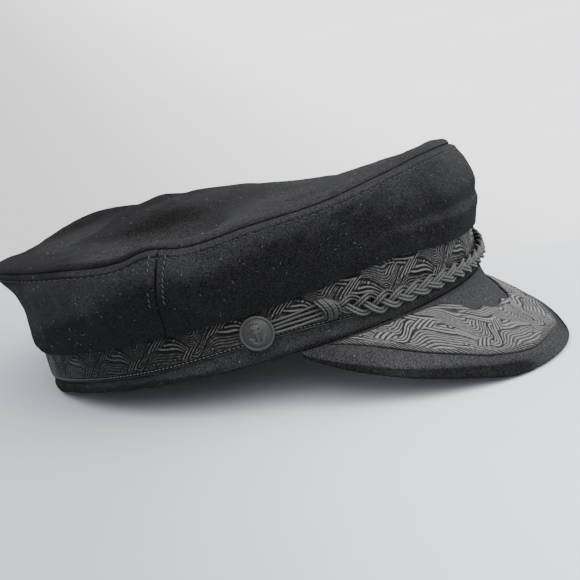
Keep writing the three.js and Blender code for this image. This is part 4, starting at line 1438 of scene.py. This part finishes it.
class CAP_OT_stage(bpy.types.Operator):
    """Set up the pale floor, the soft light and the camera"""

    bl_idname = "cap.stage"
    bl_label = "Stage"

    def execute(self, context):
        scene = context.scene
        colours = scene.cap_colours
        mesh = bpy.data.meshes.new("floor")
        corners = [(x * FLOOR_HALF, y * FLOOR_HALF, 0) for x, y in ((-1, -1), (1, -1), (1, 1), (-1, 1))]
        mesh.from_pydata(corners, [], [(0, 1, 2, 3)])
        mesh.materials.append(floor_finish(colours.floor, colours.behind))
        floor = bpy.data.objects.new("floor", mesh)
        scene.collection.objects.link(floor)

        world = bpy.data.worlds.new("soft_sky")
        world.use_nodes = True
        sky = world.node_tree.nodes["Background"]
        sky.inputs["Color"].default_value = (0.93, 0.96, 1.0, 1)
        sky.inputs["Strength"].default_value = 1.65
        scene.world = world

        right, up, back, eye = camera_axes()
        toward = Vector((back.x, back.y, 0)).normalized()
        over = 0.75 * toward + 0.1 * right + Vector((0, 0, 1))
        self.lamp(scene, "softbox_above", over, 3.5, (1.0, 1.0, 1.0))
        beside = 0.8 * right + 0.2 * toward + Vector((0, 0, 0.9))
        self.lamp(scene, "softbox_right", beside, 1.7, (1.0, 0.997, 0.99))

        data = bpy.data.cameras.new("photo_camera")
        data.sensor_width = 36.0
        data.lens = FOCAL_PIXELS * data.sensor_width / PICTURE
        data.clip_start = 0.05
        data.clip_end = 50.0
        camera = bpy.data.objects.new("photo_camera", data)
        camera.matrix_world = Matrix.Translation(eye) @ Matrix((right, up, back)).transposed().to_4x4()
        scene.collection.objects.link(camera)
        scene.camera = camera
        return {"FINISHED"}

    def lamp(self, scene, name, source, strength, colour):
        """Even light from one side, as soft as from a large box."""
        data = bpy.data.lights.new(name, "SUN")
        data.angle = SOFTBOX_WIDTH
        data.energy = strength
        data.color = colour
        lamp = bpy.data.objects.new(name, data)
        lamp.location = CAMERA_TARGET + source
        lamp.rotation_mode = "QUATERNION"
        lamp.rotation_quaternion = source.to_track_quat("Z", "Y")
        scene.collection.objects.link(lamp)


class CAP_PT_panel(bpy.types.Panel):
    """Lists the steps that make the cap"""

    bl_label = "Skipper cap"
    bl_idname = "CAP_PT_panel"
    bl_space_type = "VIEW_3D"
    bl_region_type = "UI"
    bl_category = "Cap"

    def draw(self, context):
        rows = self.layout.column()
        for group in (context.scene.cap_sizes, context.scene.cap_colours):
            for key in group.bl_rna.properties.keys():
                if key not in ("rna_type", "name"):
                    rows.prop(group, key)
        for step in STEPS:
            rows.operator(step.bl_idname)


STEPS = (CAP_OT_wool, CAP_OT_ribbons, CAP_OT_cords, CAP_OT_buttons, CAP_OT_sewing, CAP_OT_stage)
CLASSES = (CapSizes, CapColours, *STEPS, CAP_PT_panel)


def register():
    for kind in CLASSES:
        bpy.utils.register_class(kind)
    bpy.types.Scene.cap_sizes = bpy.props.PointerProperty(type=CapSizes)
    bpy.types.Scene.cap_colours = bpy.props.PointerProperty(type=CapColours)


def unregister():
    del bpy.types.Scene.cap_colours
    del bpy.types.Scene.cap_sizes
    for kind in reversed(CLASSES):
        bpy.utils.unregister_class(kind)


def main():
    register()
    for step in STEPS:
        group, name = step.bl_idname.split(".")
        getattr(getattr(bpy.ops, group), name)()


if __name__ == "__main__":
    main()
